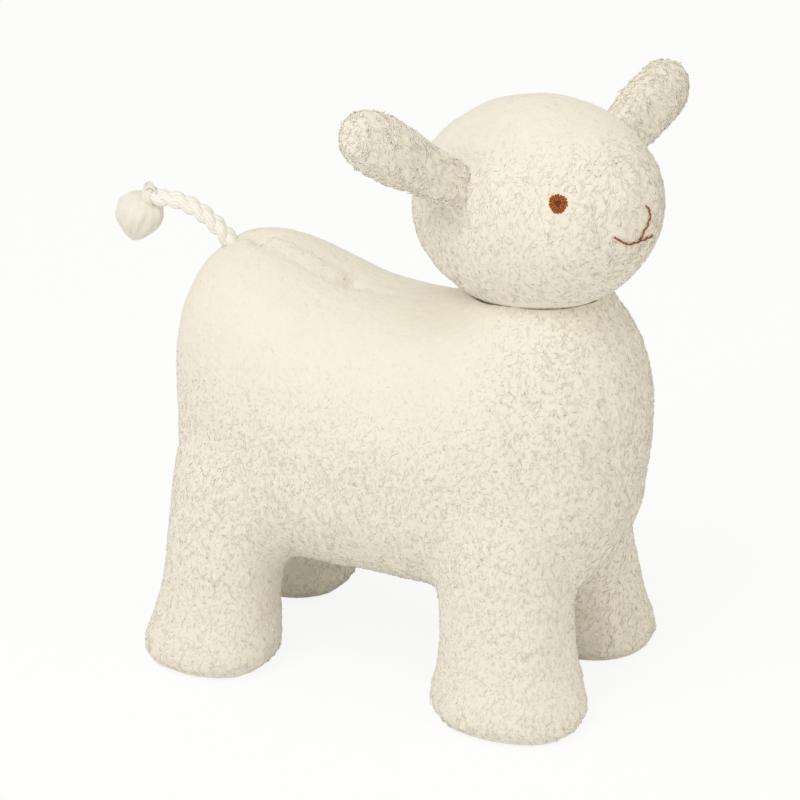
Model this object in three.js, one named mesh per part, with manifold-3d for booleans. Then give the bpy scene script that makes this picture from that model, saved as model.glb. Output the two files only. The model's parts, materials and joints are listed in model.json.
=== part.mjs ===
// Plush sheep: a stuffed toy of curly pile fabric that stands on four short legs and looks over
// its right shoulder. Millimetres, +Z up, +X towards the chest, +Y towards the toy's left side.
// The toy is drawn about its own middle plane, and one shift puts the origin on the ground under
// the middle of its overall box, tail left out.
import * as THREE from "three";
import { mergeVertices } from "three/addons/utils/BufferGeometryUtils.js";
import Module from "manifold-3d";

const wasm = await Module();
wasm.setup();

// Cloth and clearances
const cloth_thickness = 3;
const touch_gap = 0.3;
const seam_gap = 0.4;
const cut_overrun = 6;

// Body
const body_length = 203;
const body_width = 116;
const body_axis_height = 105;
const body_middle_ahead = 6;
const back_rise = 62;
const belly_drop = 60;
const top_lean = 4;
const chest_tuck = 2;
const gusset_width = 46;
const gusset_rear_height = 96;
const gusset_front_height = 166;

// Legs
const hip_height = 82;
const hip_spacing = 62;
const hip_radius = 28;
const foot_spacing = 83;
const front_foot_ahead = 70;
const rear_foot_behind = 72.5;
const front_hip_ahead = 62;
const rear_hip_behind = 64;
const front_foot_length = 68;
const rear_foot_length = 60;
const foot_width = 56;
const sole_thickness = 3;
const hip_swing_deg = 10;
const hip_side_gap = 0.8;
const hip_relief = 1.2;

// Head and neck
const head_length = 126;
const head_width = 87;
const head_height = 93;
const head_centre_ahead = 60.5;
const head_centre_left = 6;
const head_centre_height = 219.5;
const head_turned_right_deg = 21.5;
const chin_raised_deg = 17;
const head_leaning_left_deg = 8;
const neck_ball_radius = 34;
const neck_ball_reach = 4.5;
const neck_opening_radius = 17;
const neck_plug_radius = 15;
const neck_plug_depth = 26;
const head_relief = 3;
const head_turn_deg = 25;
const neck_thread_diameter = 1.4;

// Ears
const ear_length = 68;
const ear_width = 28;
const ear_thickness = 20;
const ear_root_radius = 10;
const ear_root_behind = 5;
const ear_root_aside = 39;
const ear_root_above = 11;
const ear_raised_deg = 29.5;
const ear_swept_back_deg = 1;
const ear_flex_deg = 20;
const ear_relief = 1.3;

// Face stitching
const eye_diameter = 8.5;
const eye_thickness = 1.2;
const eye_aside = 29.6;
const eye_above = 3.6;
const face_thread_diameter = 1.2;
const face_seat = 0.6;
const mouth_width = 22.5;
const mouth_drop = 15.5;
const mouth_smile = 3.5;
const nose_top_drop = 1.5;

// Tail and closing seam
const tail_diameter = 8;
const whipping_diameter = 9.6;
const whipping_length = 4;
const tuft_diameter = 20;
const tuft_length = 19;
const tuft_clearance = 4.7;
const tuft_hang_deg = 75;
const closing_thread_diameter = 1.2;
const closing_groove_diameter = 4.6;
const closing_seam_length = 44;
const closing_seam_behind = 65;
const closing_stitches = 9;

// Where the middle plane and the feet stand in the overall box
const shift_ahead = -8.9;
const shift_left = -17;

// Sections of the body from rump to chest: along, width, rise, drop
const body_shares = [
  [-0.985, 0.32, 0.54, 0.36],
  [-0.95, 0.49, 0.86, 0.56],
  [-0.88, 0.66, 1.12, 0.76],
  [-0.77, 0.80, 1.27, 0.90],
  [-0.62, 0.90, 1.30, 0.97],
  [-0.45, 0.96, 1.20, 1.0],
  [-0.22, 0.99, 1.07, 1.0],
  [0, 1, 1.03, 1.0],
  [0.2, 0.99, 1.08, 1.0],
  [0.42, 0.97, 1.22, 0.99],
  [0.6, 0.91, 1.31, 0.96],
  [0.76, 0.80, 1.29, 0.89],
  [0.88, 0.66, 1.11, 0.76],
  [0.95, 0.49, 0.86, 0.57],
  [0.985, 0.32, 0.55, 0.36],
];

// Sections of a leg from the ground to the hip: height, length, width
const leg_shares = [
  [0, 0.94, 0.94],
  [0.02, 0.985, 0.98],
  [0.055, 1.02, 1.015],
  [0.11, 1.02, 1.02],
  [0.2, 0.97, 0.985],
  [0.33, 0.89, 0.95],
  [0.5, 0.86, 0.96],
  [0.72, 0.855, 0.985],
];

// Sections of an ear from its root to its tip: along, width, thickness
const ear_shares = [
  [0.14, 0.76, 1.0],
  [0.3, 0.84, 0.98],
  [0.48, 0.94, 1.0],
  [0.66, 1.0, 1.0],
  [0.8, 0.97, 0.93],
  [0.9, 0.82, 0.77],
  [0.965, 0.54, 0.50],
];

// Outline of the tuft from the whipping to its tip: along, width
const tuft_shares = [
  [0, 0.36],
  [0.12, 0.62],
  [0.32, 0.94],
  [0.55, 1.0],
  [0.76, 0.80],
  [0.92, 0.44],
];

// The tail cord's middle line, from inside the rump to the whipping
const tail_points = [
  [-76.6, 0, 176.2],
  [-78.9, 0, 178.6],
  [-83.2, 0, 183.2],
  [-87.9, 0, 187.2],
  [-93.6, 0, 190.8],
  [-99.2, 0, 193.1],
  [-104.2, 0, 194.2],
  [-109.0, 0, 194.4],
  [-115.4, 0, 193.8],
];

const body_section_power = 2.4;
const leg_section_power = 2.3;
const ear_section_power = 2.1;
const ear_around = 14;
const turned_around = 16;
const dome_rows = 3;

// How finely a form is faceted: sides around, and every how many of its sections are used
const outside = { body: 26, leg: 18, head: 28, head_rows: 18, every: 1 };
const inside = { body: 16, leg: 12, head: 18, head_rows: 10, every: 2 };
const muzzle_taper_share = 0.10;

const radians = THREE.MathUtils.degToRad;
const vector = (x, y, z) => new THREE.Vector3(x, y, z);

// Closed skin over a row of rings, each ring a list of points and each end a single point
function skinOver(rings) {
  const index = [];
  let start = 0;
  for (let i = 0; i + 1 < rings.length; i += 1) {
    const here = rings[i].length;
    const there = rings[i + 1].length;
    const next = start + here;
    const around = Math.max(here, there);
    for (let j = 0; j < around; j += 1) {
      const k = (j + 1) % around;
      if (here > 1) index.push(start + j, start + k, next + (there > 1 ? k : 0));
      if (there > 1) index.push(start + (here > 1 ? j : 0), next + k, next + j);
    }
    start = next;
  }
  const geometry = new THREE.BufferGeometry();
  geometry.setFromPoints(rings.flat());
  geometry.setIndex(index);
  return geometry;
}

// One rounded section: a full ellipse at power 2, squarer above it
function section(middle, side, rise, drop, power, around) {
  const points = [];
  for (let j = 0; j < around; j += 1) {
    const turn = (j / around) * 2 * Math.PI;
    const across = Math.sign(Math.cos(turn)) * Math.abs(Math.cos(turn)) ** (2 / power);
    const up = Math.sign(Math.sin(turn)) * Math.abs(Math.sin(turn)) ** (2 / power);
    const height = up > 0 ? rise : drop;
    points.push(middle.clone().addScaledVector(side, across).addScaledVector(height, up));
  }
  return points;
}

function solidOf(geometry) {
  const bare = geometry.clone();
  bare.deleteAttribute("normal");
  bare.deleteAttribute("uv");
  const merged = mergeVertices(bare);
  return new wasm.Manifold(new wasm.Mesh({
    numProp: 3,
    vertProperties: new Float32Array(merged.attributes.position.array),
    triVerts: new Uint32Array(merged.index.array),
  }));
}

function geometryOf(solid) {
  const mesh = solid.getMesh();
  const geometry = new THREE.BufferGeometry();
  geometry.setAttribute("position", new THREE.BufferAttribute(mesh.vertProperties, 3));
  geometry.setIndex(new THREE.BufferAttribute(mesh.triVerts, 1));
  geometry.computeVertexNormals();
  return geometry;
}

const moved = (geometry, matrix) => geometry.clone().applyMatrix4(matrix);

function box(low, high) {
  const size = high.clone().sub(low);
  const middle = high.clone().add(low).multiplyScalar(0.5);
  return new THREE.BoxGeometry(size.x, size.y, size.z).translate(middle.x, middle.y, middle.z);
}

// A turned solid about the Z axis, from points of radius and height
function turned(outline, around) {
  const points = outline.map(([radius, height]) => new THREE.Vector2(radius, height));
  return new THREE.LatheGeometry(points, around).rotateX(Math.PI / 2);
}

function tube(points, diameter, sides, steps, closed) {
  const outline = new THREE.Shape();
  for (let j = 0; j < sides; j += 1) {
    const turn = (j / sides) * 2 * Math.PI;
    const x = (diameter / 2) * Math.cos(turn);
    const y = (diameter / 2) * Math.sin(turn);
    if (j === 0) outline.moveTo(x, y);
    else outline.lineTo(x, y);
  }
  const extrudePath = new THREE.CatmullRomCurve3(points, closed, "centripetal");
  return new THREE.ExtrudeGeometry(outline, { steps, extrudePath });
}

// Body

function bodyForm(inset, facets) {
  const half = body_length / 2 - inset;
  const ring = ([along, width, rise, drop]) => section(
    vector(body_middle_ahead + along * half, 0, body_axis_height),
    vector(0, (body_width / 2 - inset) * width, 0),
    vector(top_lean * along * Math.abs(along), 0, (back_rise - inset) * rise),
    vector(chest_tuck * Math.max(0, along) ** 2, 0, (belly_drop - inset) * drop),
    body_section_power,
    facets.body,
  );
  const end = (side) => [vector(body_middle_ahead + side * half, 0, body_axis_height)];
  const used = body_shares.filter((shares, i) => i % facets.every === 0);
  return skinOver([end(-1), ...used.map(ring), end(1)]);
}

const body_front = body_middle_ahead + body_length / 2;
const body_rear = body_middle_ahead - body_length / 2;
const body_top = body_axis_height + 2 * back_rise;

// The gusset's edge as seen from the side, a slanting line from the rump to the chest
function gussetSpace(grow) {
  const outline = new THREE.Shape();
  outline.moveTo(body_rear - cut_overrun, gusset_rear_height + grow);
  outline.lineTo(body_rear - cut_overrun, -cut_overrun);
  outline.lineTo(body_front + cut_overrun, -cut_overrun);
  outline.lineTo(body_front + cut_overrun, gusset_front_height + grow);
  const width = gusset_width + 2 * grow;
  return new THREE.ExtrudeGeometry(outline, { depth: width, bevelEnabled: false })
    .rotateX(Math.PI / 2)
    .translate(0, width / 2, 0);
}

// Legs

const legs = [];
for (const [end, ahead, hip_ahead, length] of [
  ["front", front_foot_ahead, front_hip_ahead, front_foot_length],
  ["rear", -rear_foot_behind, -rear_hip_behind, rear_foot_length],
]) {
  for (const [side, sign] of [["left", 1], ["right", -1]]) {
    legs.push({
      name: `leg_${end}_${side}`,
      sole: `sole_${end}_${side}`,
      hip: vector(hip_ahead, (sign * hip_spacing) / 2, hip_height),
      foot: vector(ahead, (sign * foot_spacing) / 2, 0),
      length,
    });
  }
}

// A leg swells at the hip, narrows at the shin and flares into a flat foot. With a swing it is
// the space that the leg takes as it swings to and fro about its hip.
function legForm(leg, grow, swing, facets) {
  const lean = Math.sin(radians(swing));
  const relief = swing > 0 ? hip_relief : 0;
  const ring = ([height, length, width]) => {
    const half_length = (leg.length / 2) * length;
    const half_width = vector(0, (foot_width / 2) * width + grow, 0);
    const below_hip = hip_height * (1 - height);
    const reach = (below_hip + half_length * lean) * lean + relief;
    return section(
      leg.foot.clone().lerp(leg.hip, height),
      vector(half_length + grow + reach, 0, 0),
      half_width,
      half_width,
      leg_section_power,
      facets.leg,
    );
  };
  const used = leg_shares.filter((shares, i) => i % facets.every === 0);
  const shin = used.map(ring);
  const dome = [];
  const dome_radius = hip_radius + grow;
  for (let row = 0; row < dome_rows; row += 1) {
    const turn = (row / dome_rows) * (Math.PI / 2);
    const radius = dome_radius * Math.cos(turn);
    const rise = (dome_radius + relief) * Math.sin(turn);
    const middle = leg.hip.clone().setZ(leg.hip.z + rise);
    const width = vector(0, radius, 0);
    dome.push(section(middle, vector(radius + relief, 0, 0), width, width, 2, facets.leg));
  }
  const top = leg.hip.clone().setZ(leg.hip.z + dome_radius + relief);
  return skinOver([[leg.foot], ...shin, ...dome, [top]]);
}

function legSpace() {
  const rooms = legs.map((leg) => solidOf(legForm(leg, hip_side_gap, hip_swing_deg, outside)));
  return rooms.reduce((space, room) => space.add(room));
}

// Head

const head = new THREE.Group();
head.position.set(head_centre_ahead, head_centre_left, head_centre_height);
head.rotation.set(
  -radians(head_leaning_left_deg),
  -radians(chin_raised_deg),
  -radians(head_turned_right_deg),
  "ZYX",
);
head.updateMatrix();

function headForm(inset, facets) {
  const ball = new THREE.SphereGeometry(1, facets.head, facets.head_rows).rotateZ(-Math.PI / 2);
  const place = ball.attributes.position;
  for (let i = 0; i < place.count; i += 1) {
    const ahead = Math.max(0, place.getX(i));
    const taper = 1 - muzzle_taper_share * ahead * ahead;
    place.setY(i, place.getY(i) * taper);
    place.setZ(i, place.getZ(i) * taper);
  }
  return ball.scale(head_length / 2 - inset, head_width / 2 - inset, head_height / 2 - inset);
}

const neck_pivot_drop = head_height / 2 + neck_ball_reach - neck_ball_radius;
const neck_pivot = vector(0, 0, -neck_pivot_drop);

// The hollow that the head turns in: its own room turned by shares of its range, and its neck ball's
function headDish() {
  const room = new THREE.SphereGeometry(1, outside.head, outside.head_rows)
    .rotateZ(-Math.PI / 2)
    .scale(
      head_length / 2 + head_relief,
      head_width / 2 + head_relief,
      head_height / 2 + head_relief,
    );
  const ball = new THREE.SphereGeometry(neck_ball_radius + 2 * touch_gap, outside.head, outside.head)
    .translate(0, 0, neck_pivot.z);
  const turns = [-1, -0.5, 0, 0.5, 1].map((share) => share * radians(head_turn_deg));
  const rooms = turns.map((turn) => solidOf(moved(room.clone().rotateZ(turn), head.matrix)));
  return rooms.reduce((space, next) => space.add(next), solidOf(moved(ball, head.matrix)));
}

const plug_base = -neck_pivot_drop - neck_ball_radius - neck_plug_depth;

function ballSlope(radius, edge) {
  const points = [];
  const steps = 6;
  for (let i = steps; i >= 0; i -= 1) {
    const out = (edge * i) / steps;
    points.push([out, -neck_pivot_drop - Math.sqrt(radius * radius - out * out)]);
  }
  return points;
}

function neckPlug(grow) {
  const edge = neck_plug_radius + grow;
  const base = plug_base - grow;
  const top = ballSlope(neck_ball_radius + touch_gap, neck_plug_radius);
  if (grow > 0) return turned([[0, base], [edge, base], [edge, 0], [0, 0]], turned_around);
  return turned([[0, base], [edge, base], ...top], turned_around);
}

const thread_ring_radius = neck_plug_radius + touch_gap + neck_thread_diameter / 2;
const thread_ring_drop = head_height / 2 + head_relief + neck_thread_diameter;

function neckRing(grow) {
  const points = [];
  for (let j = 0; j < turned_around; j += 1) {
    const turn = (j / turned_around) * 2 * Math.PI;
    points.push(vector(
      thread_ring_radius * Math.cos(turn),
      thread_ring_radius * Math.sin(turn),
      -thread_ring_drop,
    ));
  }
  return ringTube(points, neck_thread_diameter + 2 * grow);
}

// A closed round tube through a ring of points about the Z axis
function ringTube(points, diameter) {
  const sides = 6;
  const rings = points.map((point) => {
    const out = vector(point.x, point.y, 0).normalize().multiplyScalar(diameter / 2);
    const up = vector(0, 0, diameter / 2);
    return section(point, out, up, up, 2, sides);
  });
  const index = [];
  for (let i = 0; i < rings.length; i += 1) {
    const next = (i + 1) % rings.length;
    for (let j = 0; j < sides; j += 1) {
      const k = (j + 1) % sides;
      index.push(i * sides + j, next * sides + k, i * sides + k);
      index.push(i * sides + j, next * sides + j, next * sides + k);
    }
  }
  const geometry = new THREE.BufferGeometry().setFromPoints(rings.flat());
  geometry.setIndex(index);
  return geometry;
}

// Ears

const ears = [];
for (const [side, sign] of [["left", 1], ["right", -1]]) {
  const group = new THREE.Group();
  group.position.set(-ear_root_behind, sign * ear_root_aside, ear_root_above);
  const swing = Math.PI / 2 + radians(ear_swept_back_deg);
  group.rotation.set(0, -radians(ear_raised_deg), sign * swing, "ZYX");
  group.updateMatrix();
  ears.push({ side, sign, group });
}

// An ear runs along its own X axis, with its width along Z and its thickness along Y. With a flex
// it is the space that the ear takes as it lifts and droops about its root.
function earForm(grow, flex) {
  const lean = Math.sin(radians(flex));
  const relief = flex > 0 ? ear_relief : 0;
  const ring = (along, half_width, half_thickness) => {
    const reach = Math.max(0, along + half_width * lean) * lean + relief;
    const width = vector(0, 0, half_width + reach);
    const thickness = vector(0, half_thickness, 0);
    return section(vector(along, 0, 0), thickness, width, width, ear_section_power, ear_around);
  };
  const rings = [];
  const root = ear_root_radius + grow;
  for (let row = 1; row <= dome_rows; row += 1) {
    const turn = (row / dome_rows) * (Math.PI / 2);
    rings.push(ring(-root * Math.cos(turn), root * Math.sin(turn), root * Math.sin(turn)));
  }
  for (const [along, width, thickness] of ear_shares) {
    rings.push(ring(
      ear_length * along,
      (ear_width / 2) * width + grow,
      (ear_thickness / 2) * thickness + grow,
    ));
  }
  const ends = [vector(-root - relief, 0, 0), vector(ear_length + grow, 0, 0)];
  return skinOver([[ends[0]], ...rings, [ends[1]]]);
}

function earSpace() {
  const rooms = ears.map((ear) => (
    solidOf(moved(earForm(touch_gap, ear_flex_deg), ear.group.matrix))
  ));
  return rooms.reduce((space, room) => space.add(room));
}

// Face: points on the head's skin, found by looking straight at it from ahead

const head_skin = new THREE.Mesh(headForm(0, outside), new THREE.MeshBasicMaterial());
const sight = new THREE.Raycaster();

function onFace(aside, above, lift) {
  sight.set(vector(head_length, aside, above), vector(-1, 0, 0));
  const hit = sight.intersectObject(head_skin)[0];
  const out = hit.point.clone();
  out.x /= (head_length / 2) ** 2;
  out.y /= (head_width / 2) ** 2;
  out.z /= (head_height / 2) ** 2;
  out.normalize();
  return { point: hit.point.addScaledVector(out, lift), out };
}

// Satin stitches lie in a low round pad with a dimple where the pupil is
const eye_crown_share = 0.72;

function eyePad() {
  const edge = eye_diameter / 2;
  const pupil = edge / 3;
  return turned([
    [0, 0],
    [edge, 0],
    [edge, eye_thickness / 2],
    [edge * eye_crown_share, eye_thickness],
    [pupil, eye_thickness],
    [pupil / 2, eye_thickness / 2],
    [0, eye_thickness / 2],
  ], turned_around);
}

const face_lift = face_seat + face_thread_diameter / 2;
const face_steps_per_line = 12;

function mouthLine() {
  const points = [];
  const line_shares = [-1, -0.72, -0.36, 0, 0.36, 0.72, 1];
  for (const share of line_shares) {
    const above = -mouth_drop + mouth_smile * share * share;
    points.push(onFace((mouth_width / 2) * share, above, face_lift).point);
  }
  return tube(points, face_thread_diameter, 6, face_steps_per_line, false);
}

function noseLine() {
  const points = [];
  const nose_base = -mouth_drop + face_thread_diameter + touch_gap;
  const line_shares = [0, 0.25, 0.5, 0.75, 1];
  for (const share of line_shares) {
    const above = THREE.MathUtils.lerp(-nose_top_drop, nose_base, share);
    points.push(onFace(0, above, face_lift).point);
  }
  return tube(points, face_thread_diameter, 6, face_steps_per_line, false);
}

// Tail

const tail_line = tail_points.map(([x, y, z]) => vector(x, y, z));
const tail_pivot = tail_line[1];
const tail_start = tail_line[1].clone().sub(tail_line[0]).normalize();
const tail_end = tail_line.at(-1).clone().sub(tail_line.at(-2)).normalize();
const tail_sides = 10;
const tail_steps = 10;

function tailPocket() {
  const reach = Math.hypot(tail_diameter / 2, tail_line[0].distanceTo(tail_pivot)) + touch_gap;
  const ball = new THREE.SphereGeometry(reach, turned_around, turned_around / 2);
  return solidOf(ball.translate(tail_pivot.x, tail_pivot.y, tail_pivot.z));
}

// Places a piece at a distance past the cord's end, pointing its own way
function beyondTail(geometry, distance, direction) {
  const aim = new THREE.Quaternion().setFromUnitVectors(vector(0, 0, 1), direction);
  const start = tail_line.at(-1).clone().addScaledVector(tail_end, distance);
  return geometry.applyQuaternion(aim).translate(start.x, start.y, start.z);
}

function whipping() {
  const edge = whipping_diameter / 2;
  const bevel = edge / 5;
  return turned([
    [0, 0],
    [edge - bevel, 0],
    [edge, bevel],
    [edge, whipping_length - bevel],
    [edge - bevel, whipping_length],
    [0, whipping_length],
  ], turned_around);
}

function tuft() {
  const outline = tuft_shares.map(([along, width]) => (
    [(tuft_diameter / 2) * width, tuft_length * along]
  ));
  return turned([[0, 0], ...outline, [0, tuft_length]], turned_around);
}

// Closing seam on the back: a zigzag thread that lies in a groove along the middle line

const ridge = body_shares.map(([along, , rise]) => [
  body_middle_ahead + (along * body_length) / 2 + top_lean * along * Math.abs(along),
  body_axis_height + back_rise * rise,
]);

function backHeight(ahead) {
  const next = ridge.findIndex(([place]) => place > ahead);
  const [low, low_height] = ridge[next - 1];
  const [high, high_height] = ridge[next];
  return THREE.MathUtils.mapLinear(ahead, low, high, low_height, high_height);
}

function seamPoints(steps, aside) {
  const points = [];
  for (let i = 0; i <= steps; i += 1) {
    const ahead = (closing_seam_length * i) / steps - closing_seam_behind;
    const side = i % 2 === 0 ? -aside : aside;
    points.push(vector(ahead, side, backHeight(ahead)));
  }
  return points;
}

const zigzag_aside = (closing_groove_diameter - closing_thread_diameter) / 2 - 2 * touch_gap;

function closingThread() {
  const points = seamPoints(closing_stitches, zigzag_aside);
  return tube(points, closing_thread_diameter, 6, closing_stitches * 3, false);
}

function closingGroove() {
  const points = seamPoints(closing_stitches, 0);
  const ends = [points[0], points.at(-1)];
  ends[0].x -= closing_groove_diameter / 2;
  ends[1].x += closing_groove_diameter / 2;
  return solidOf(tube(points, closing_groove_diameter, 8, closing_stitches, false));
}

// Finishes
const fabric = { color: 0xf2ebdc, roughness: 0.95, metalness: 0 };
const finishes = {
  pile: fabric,
  filling: { color: 0xf7f5f0, roughness: 1, metalness: 0 },
  thread: { color: 0xe9e2d2, roughness: 0.7, metalness: 0 },
  face: { color: 0xa8643a, roughness: 0.55, metalness: 0 },
  cord: { color: 0xf6f4ef, roughness: 0.8, metalness: 0 },
};

function piece(name, geometry, finish) {
  const mesh = new THREE.Mesh(geometry, new THREE.MeshStandardMaterial(finishes[finish]));
  mesh.name = name;
  return mesh;
}

const toy = new THREE.Group();
toy.position.set(shift_ahead, shift_left, 0);

// Body pieces: the cover's panels, its filling and the thread that closes it

const leg_space = legSpace();
const body_outer = solidOf(bodyForm(0, outside));
const body_hollow = solidOf(bodyForm(cloth_thickness, inside));
const dish = headDish();
const plug_space = solidOf(moved(neckPlug(touch_gap), head.matrix));
const ring_space = solidOf(moved(neckRing(2 * touch_gap), head.matrix));
const head_space = dish.add(plug_space).add(ring_space);
const tail_space = tailPocket();
const body_room = leg_space.add(head_space).add(tail_space);
const cover = body_outer.subtract(body_hollow).subtract(body_room).subtract(closingGroove());

const whole_low = vector(body_rear - cut_overrun, -body_width, -cut_overrun);
const whole_high = vector(body_front + cut_overrun, body_width, body_top);
const panels = cover.subtract(solidOf(gussetSpace(seam_gap)));
for (const [side, sign] of [["left", 1], ["right", -1]]) {
  const low = whole_low.clone().setY(sign > 0 ? seam_gap / 2 : -body_width);
  const high = whole_high.clone().setY(sign > 0 ? body_width : -seam_gap / 2);
  const half = panels.intersect(solidOf(box(low, high)));
  toy.add(piece(`side_panel_${side}`, geometryOf(half), "pile"));
}
const gusset = cover.intersect(solidOf(gussetSpace(0)));
toy.add(piece("belly_gusset", geometryOf(gusset), "pile"));
const body_inside = solidOf(bodyForm(cloth_thickness + touch_gap, inside));
const body_filling = body_inside.subtract(body_room);
toy.add(piece("body_filling", geometryOf(body_filling), "filling"));
toy.add(piece("closing_thread", closingThread(), "thread"));

// Leg pieces

for (const leg of legs) {
  const outer = solidOf(legForm(leg, 0, 0, outside));
  const reach = hip_radius + foot_width + leg.length;
  const low = leg.foot.clone().subScalar(reach);
  const high = leg.hip.clone().addScalar(reach);
  const cover_low = low.clone().setZ(sole_thickness + touch_gap);
  const above_sole = solidOf(box(cover_low, high));
  const under = solidOf(box(low, high.clone().setZ(sole_thickness)));
  const hollow = solidOf(legForm(leg, -cloth_thickness, 0, inside));
  const inner = solidOf(legForm(leg, -cloth_thickness - touch_gap, 0, inside));
  const shell = outer.subtract(hollow).intersect(above_sole);
  toy.add(piece(`${leg.name}_cover`, geometryOf(shell), "pile"));
  toy.add(piece(`${leg.name}_filling`, geometryOf(inner.intersect(above_sole)), "filling"));
  toy.add(piece(leg.sole, geometryOf(outer.intersect(under)), "pile"));
}

// Neck pieces, placed with the head

const neck = new THREE.Group();
neck.position.copy(head.position);
neck.rotation.copy(head.rotation);
neck.add(piece("neck_filling", neckPlug(0), "filling"));
neck.add(piece("neck_thread", neckRing(0), "thread"));
toy.add(neck);

// Head pieces

const ear_space = earSpace();
const head_outer = solidOf(headForm(0, outside)).subtract(ear_space);
const head_hollow = solidOf(headForm(cloth_thickness, inside));
const opening_edge = neck_opening_radius + touch_gap;
const opening = solidOf(turned([
  [0, -head_height],
  [opening_edge, -head_height],
  [opening_edge, 0],
  [0, 0],
], turned_around));
const head_cover = head_outer.subtract(head_hollow).subtract(opening);
for (const [side, sign] of [["left", 1], ["right", -1]]) {
  const low = vector(-head_length, sign > 0 ? seam_gap / 2 : -head_width, -head_height);
  const high = vector(head_length, sign > 0 ? head_width : -seam_gap / 2, head_height);
  const half = head_cover.intersect(solidOf(box(low, high)));
  head.add(piece(`head_panel_${side}`, geometryOf(half), "pile"));
}
const opening_bore = solidOf(turned([
  [0, -head_height],
  [neck_opening_radius, -head_height],
  [neck_opening_radius, 0],
  [0, 0],
], turned_around));
const neck_ball = solidOf(
  new THREE.SphereGeometry(neck_ball_radius, inside.head, inside.head_rows * 2)
    .rotateX(Math.PI / 2)
    .translate(0, 0, neck_pivot.z),
).intersect(opening_bore);
const head_inside = solidOf(headForm(cloth_thickness + touch_gap, inside)).subtract(ear_space);
head.add(piece("head_filling", geometryOf(head_inside.add(neck_ball)), "filling"));

for (const [side, sign] of [["left", 1], ["right", -1]]) {
  const seat = onFace(sign * eye_aside, eye_above, face_seat);
  const eye = piece(`eye_${side}`, eyePad(), "face");
  eye.position.copy(seat.point);
  eye.quaternion.setFromUnitVectors(vector(0, 0, 1), seat.out);
  head.add(eye);
}
head.add(piece("mouth_stitch", mouthLine(), "face"));
head.add(piece("nose_stitch", noseLine(), "face"));

// Ear pieces: a back panel and a front panel, padded, that meet along the ear's rim

for (const ear of ears) {
  const whole = solidOf(earForm(0, 0));
  const reach = ear_length + cut_overrun;
  for (const [face, facing] of [["back", 1], ["front", -1]]) {
    const turned_back = facing * ear.sign;
    const low = vector(-reach, turned_back > 0 ? seam_gap / 2 : -reach, -reach);
    const high = vector(reach, turned_back > 0 ? reach : -seam_gap / 2, reach);
    const half = whole.intersect(solidOf(box(low, high)));
    ear.group.add(piece(`ear_${ear.side}_${face}`, geometryOf(half), "pile"));
  }
  head.add(ear.group);
}
toy.add(head);

// Tail pieces

toy.add(piece("tail_cord", tube(tail_line, tail_diameter, tail_sides, tail_steps, false), "cord"));
toy.add(piece("tail_whipping", beyondTail(whipping(), touch_gap, tail_end), "cord"));
const hang = radians(tuft_hang_deg);
const hanging = vector(-Math.cos(hang), 0, -Math.sin(hang));
const tuft_start = touch_gap + whipping_length + tuft_clearance;
toy.add(piece("tail_tuft", beyondTail(tuft(), tuft_start, hanging), "cord"));

export default toy;
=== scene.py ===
# Plush sheep: stuffed panels under a curly cream pile, an embroidered face and a braided cord tail.
# Metres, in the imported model's frame: +Z up, +X towards the chest, +Y towards the toy's left side.
import json
import math

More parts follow.
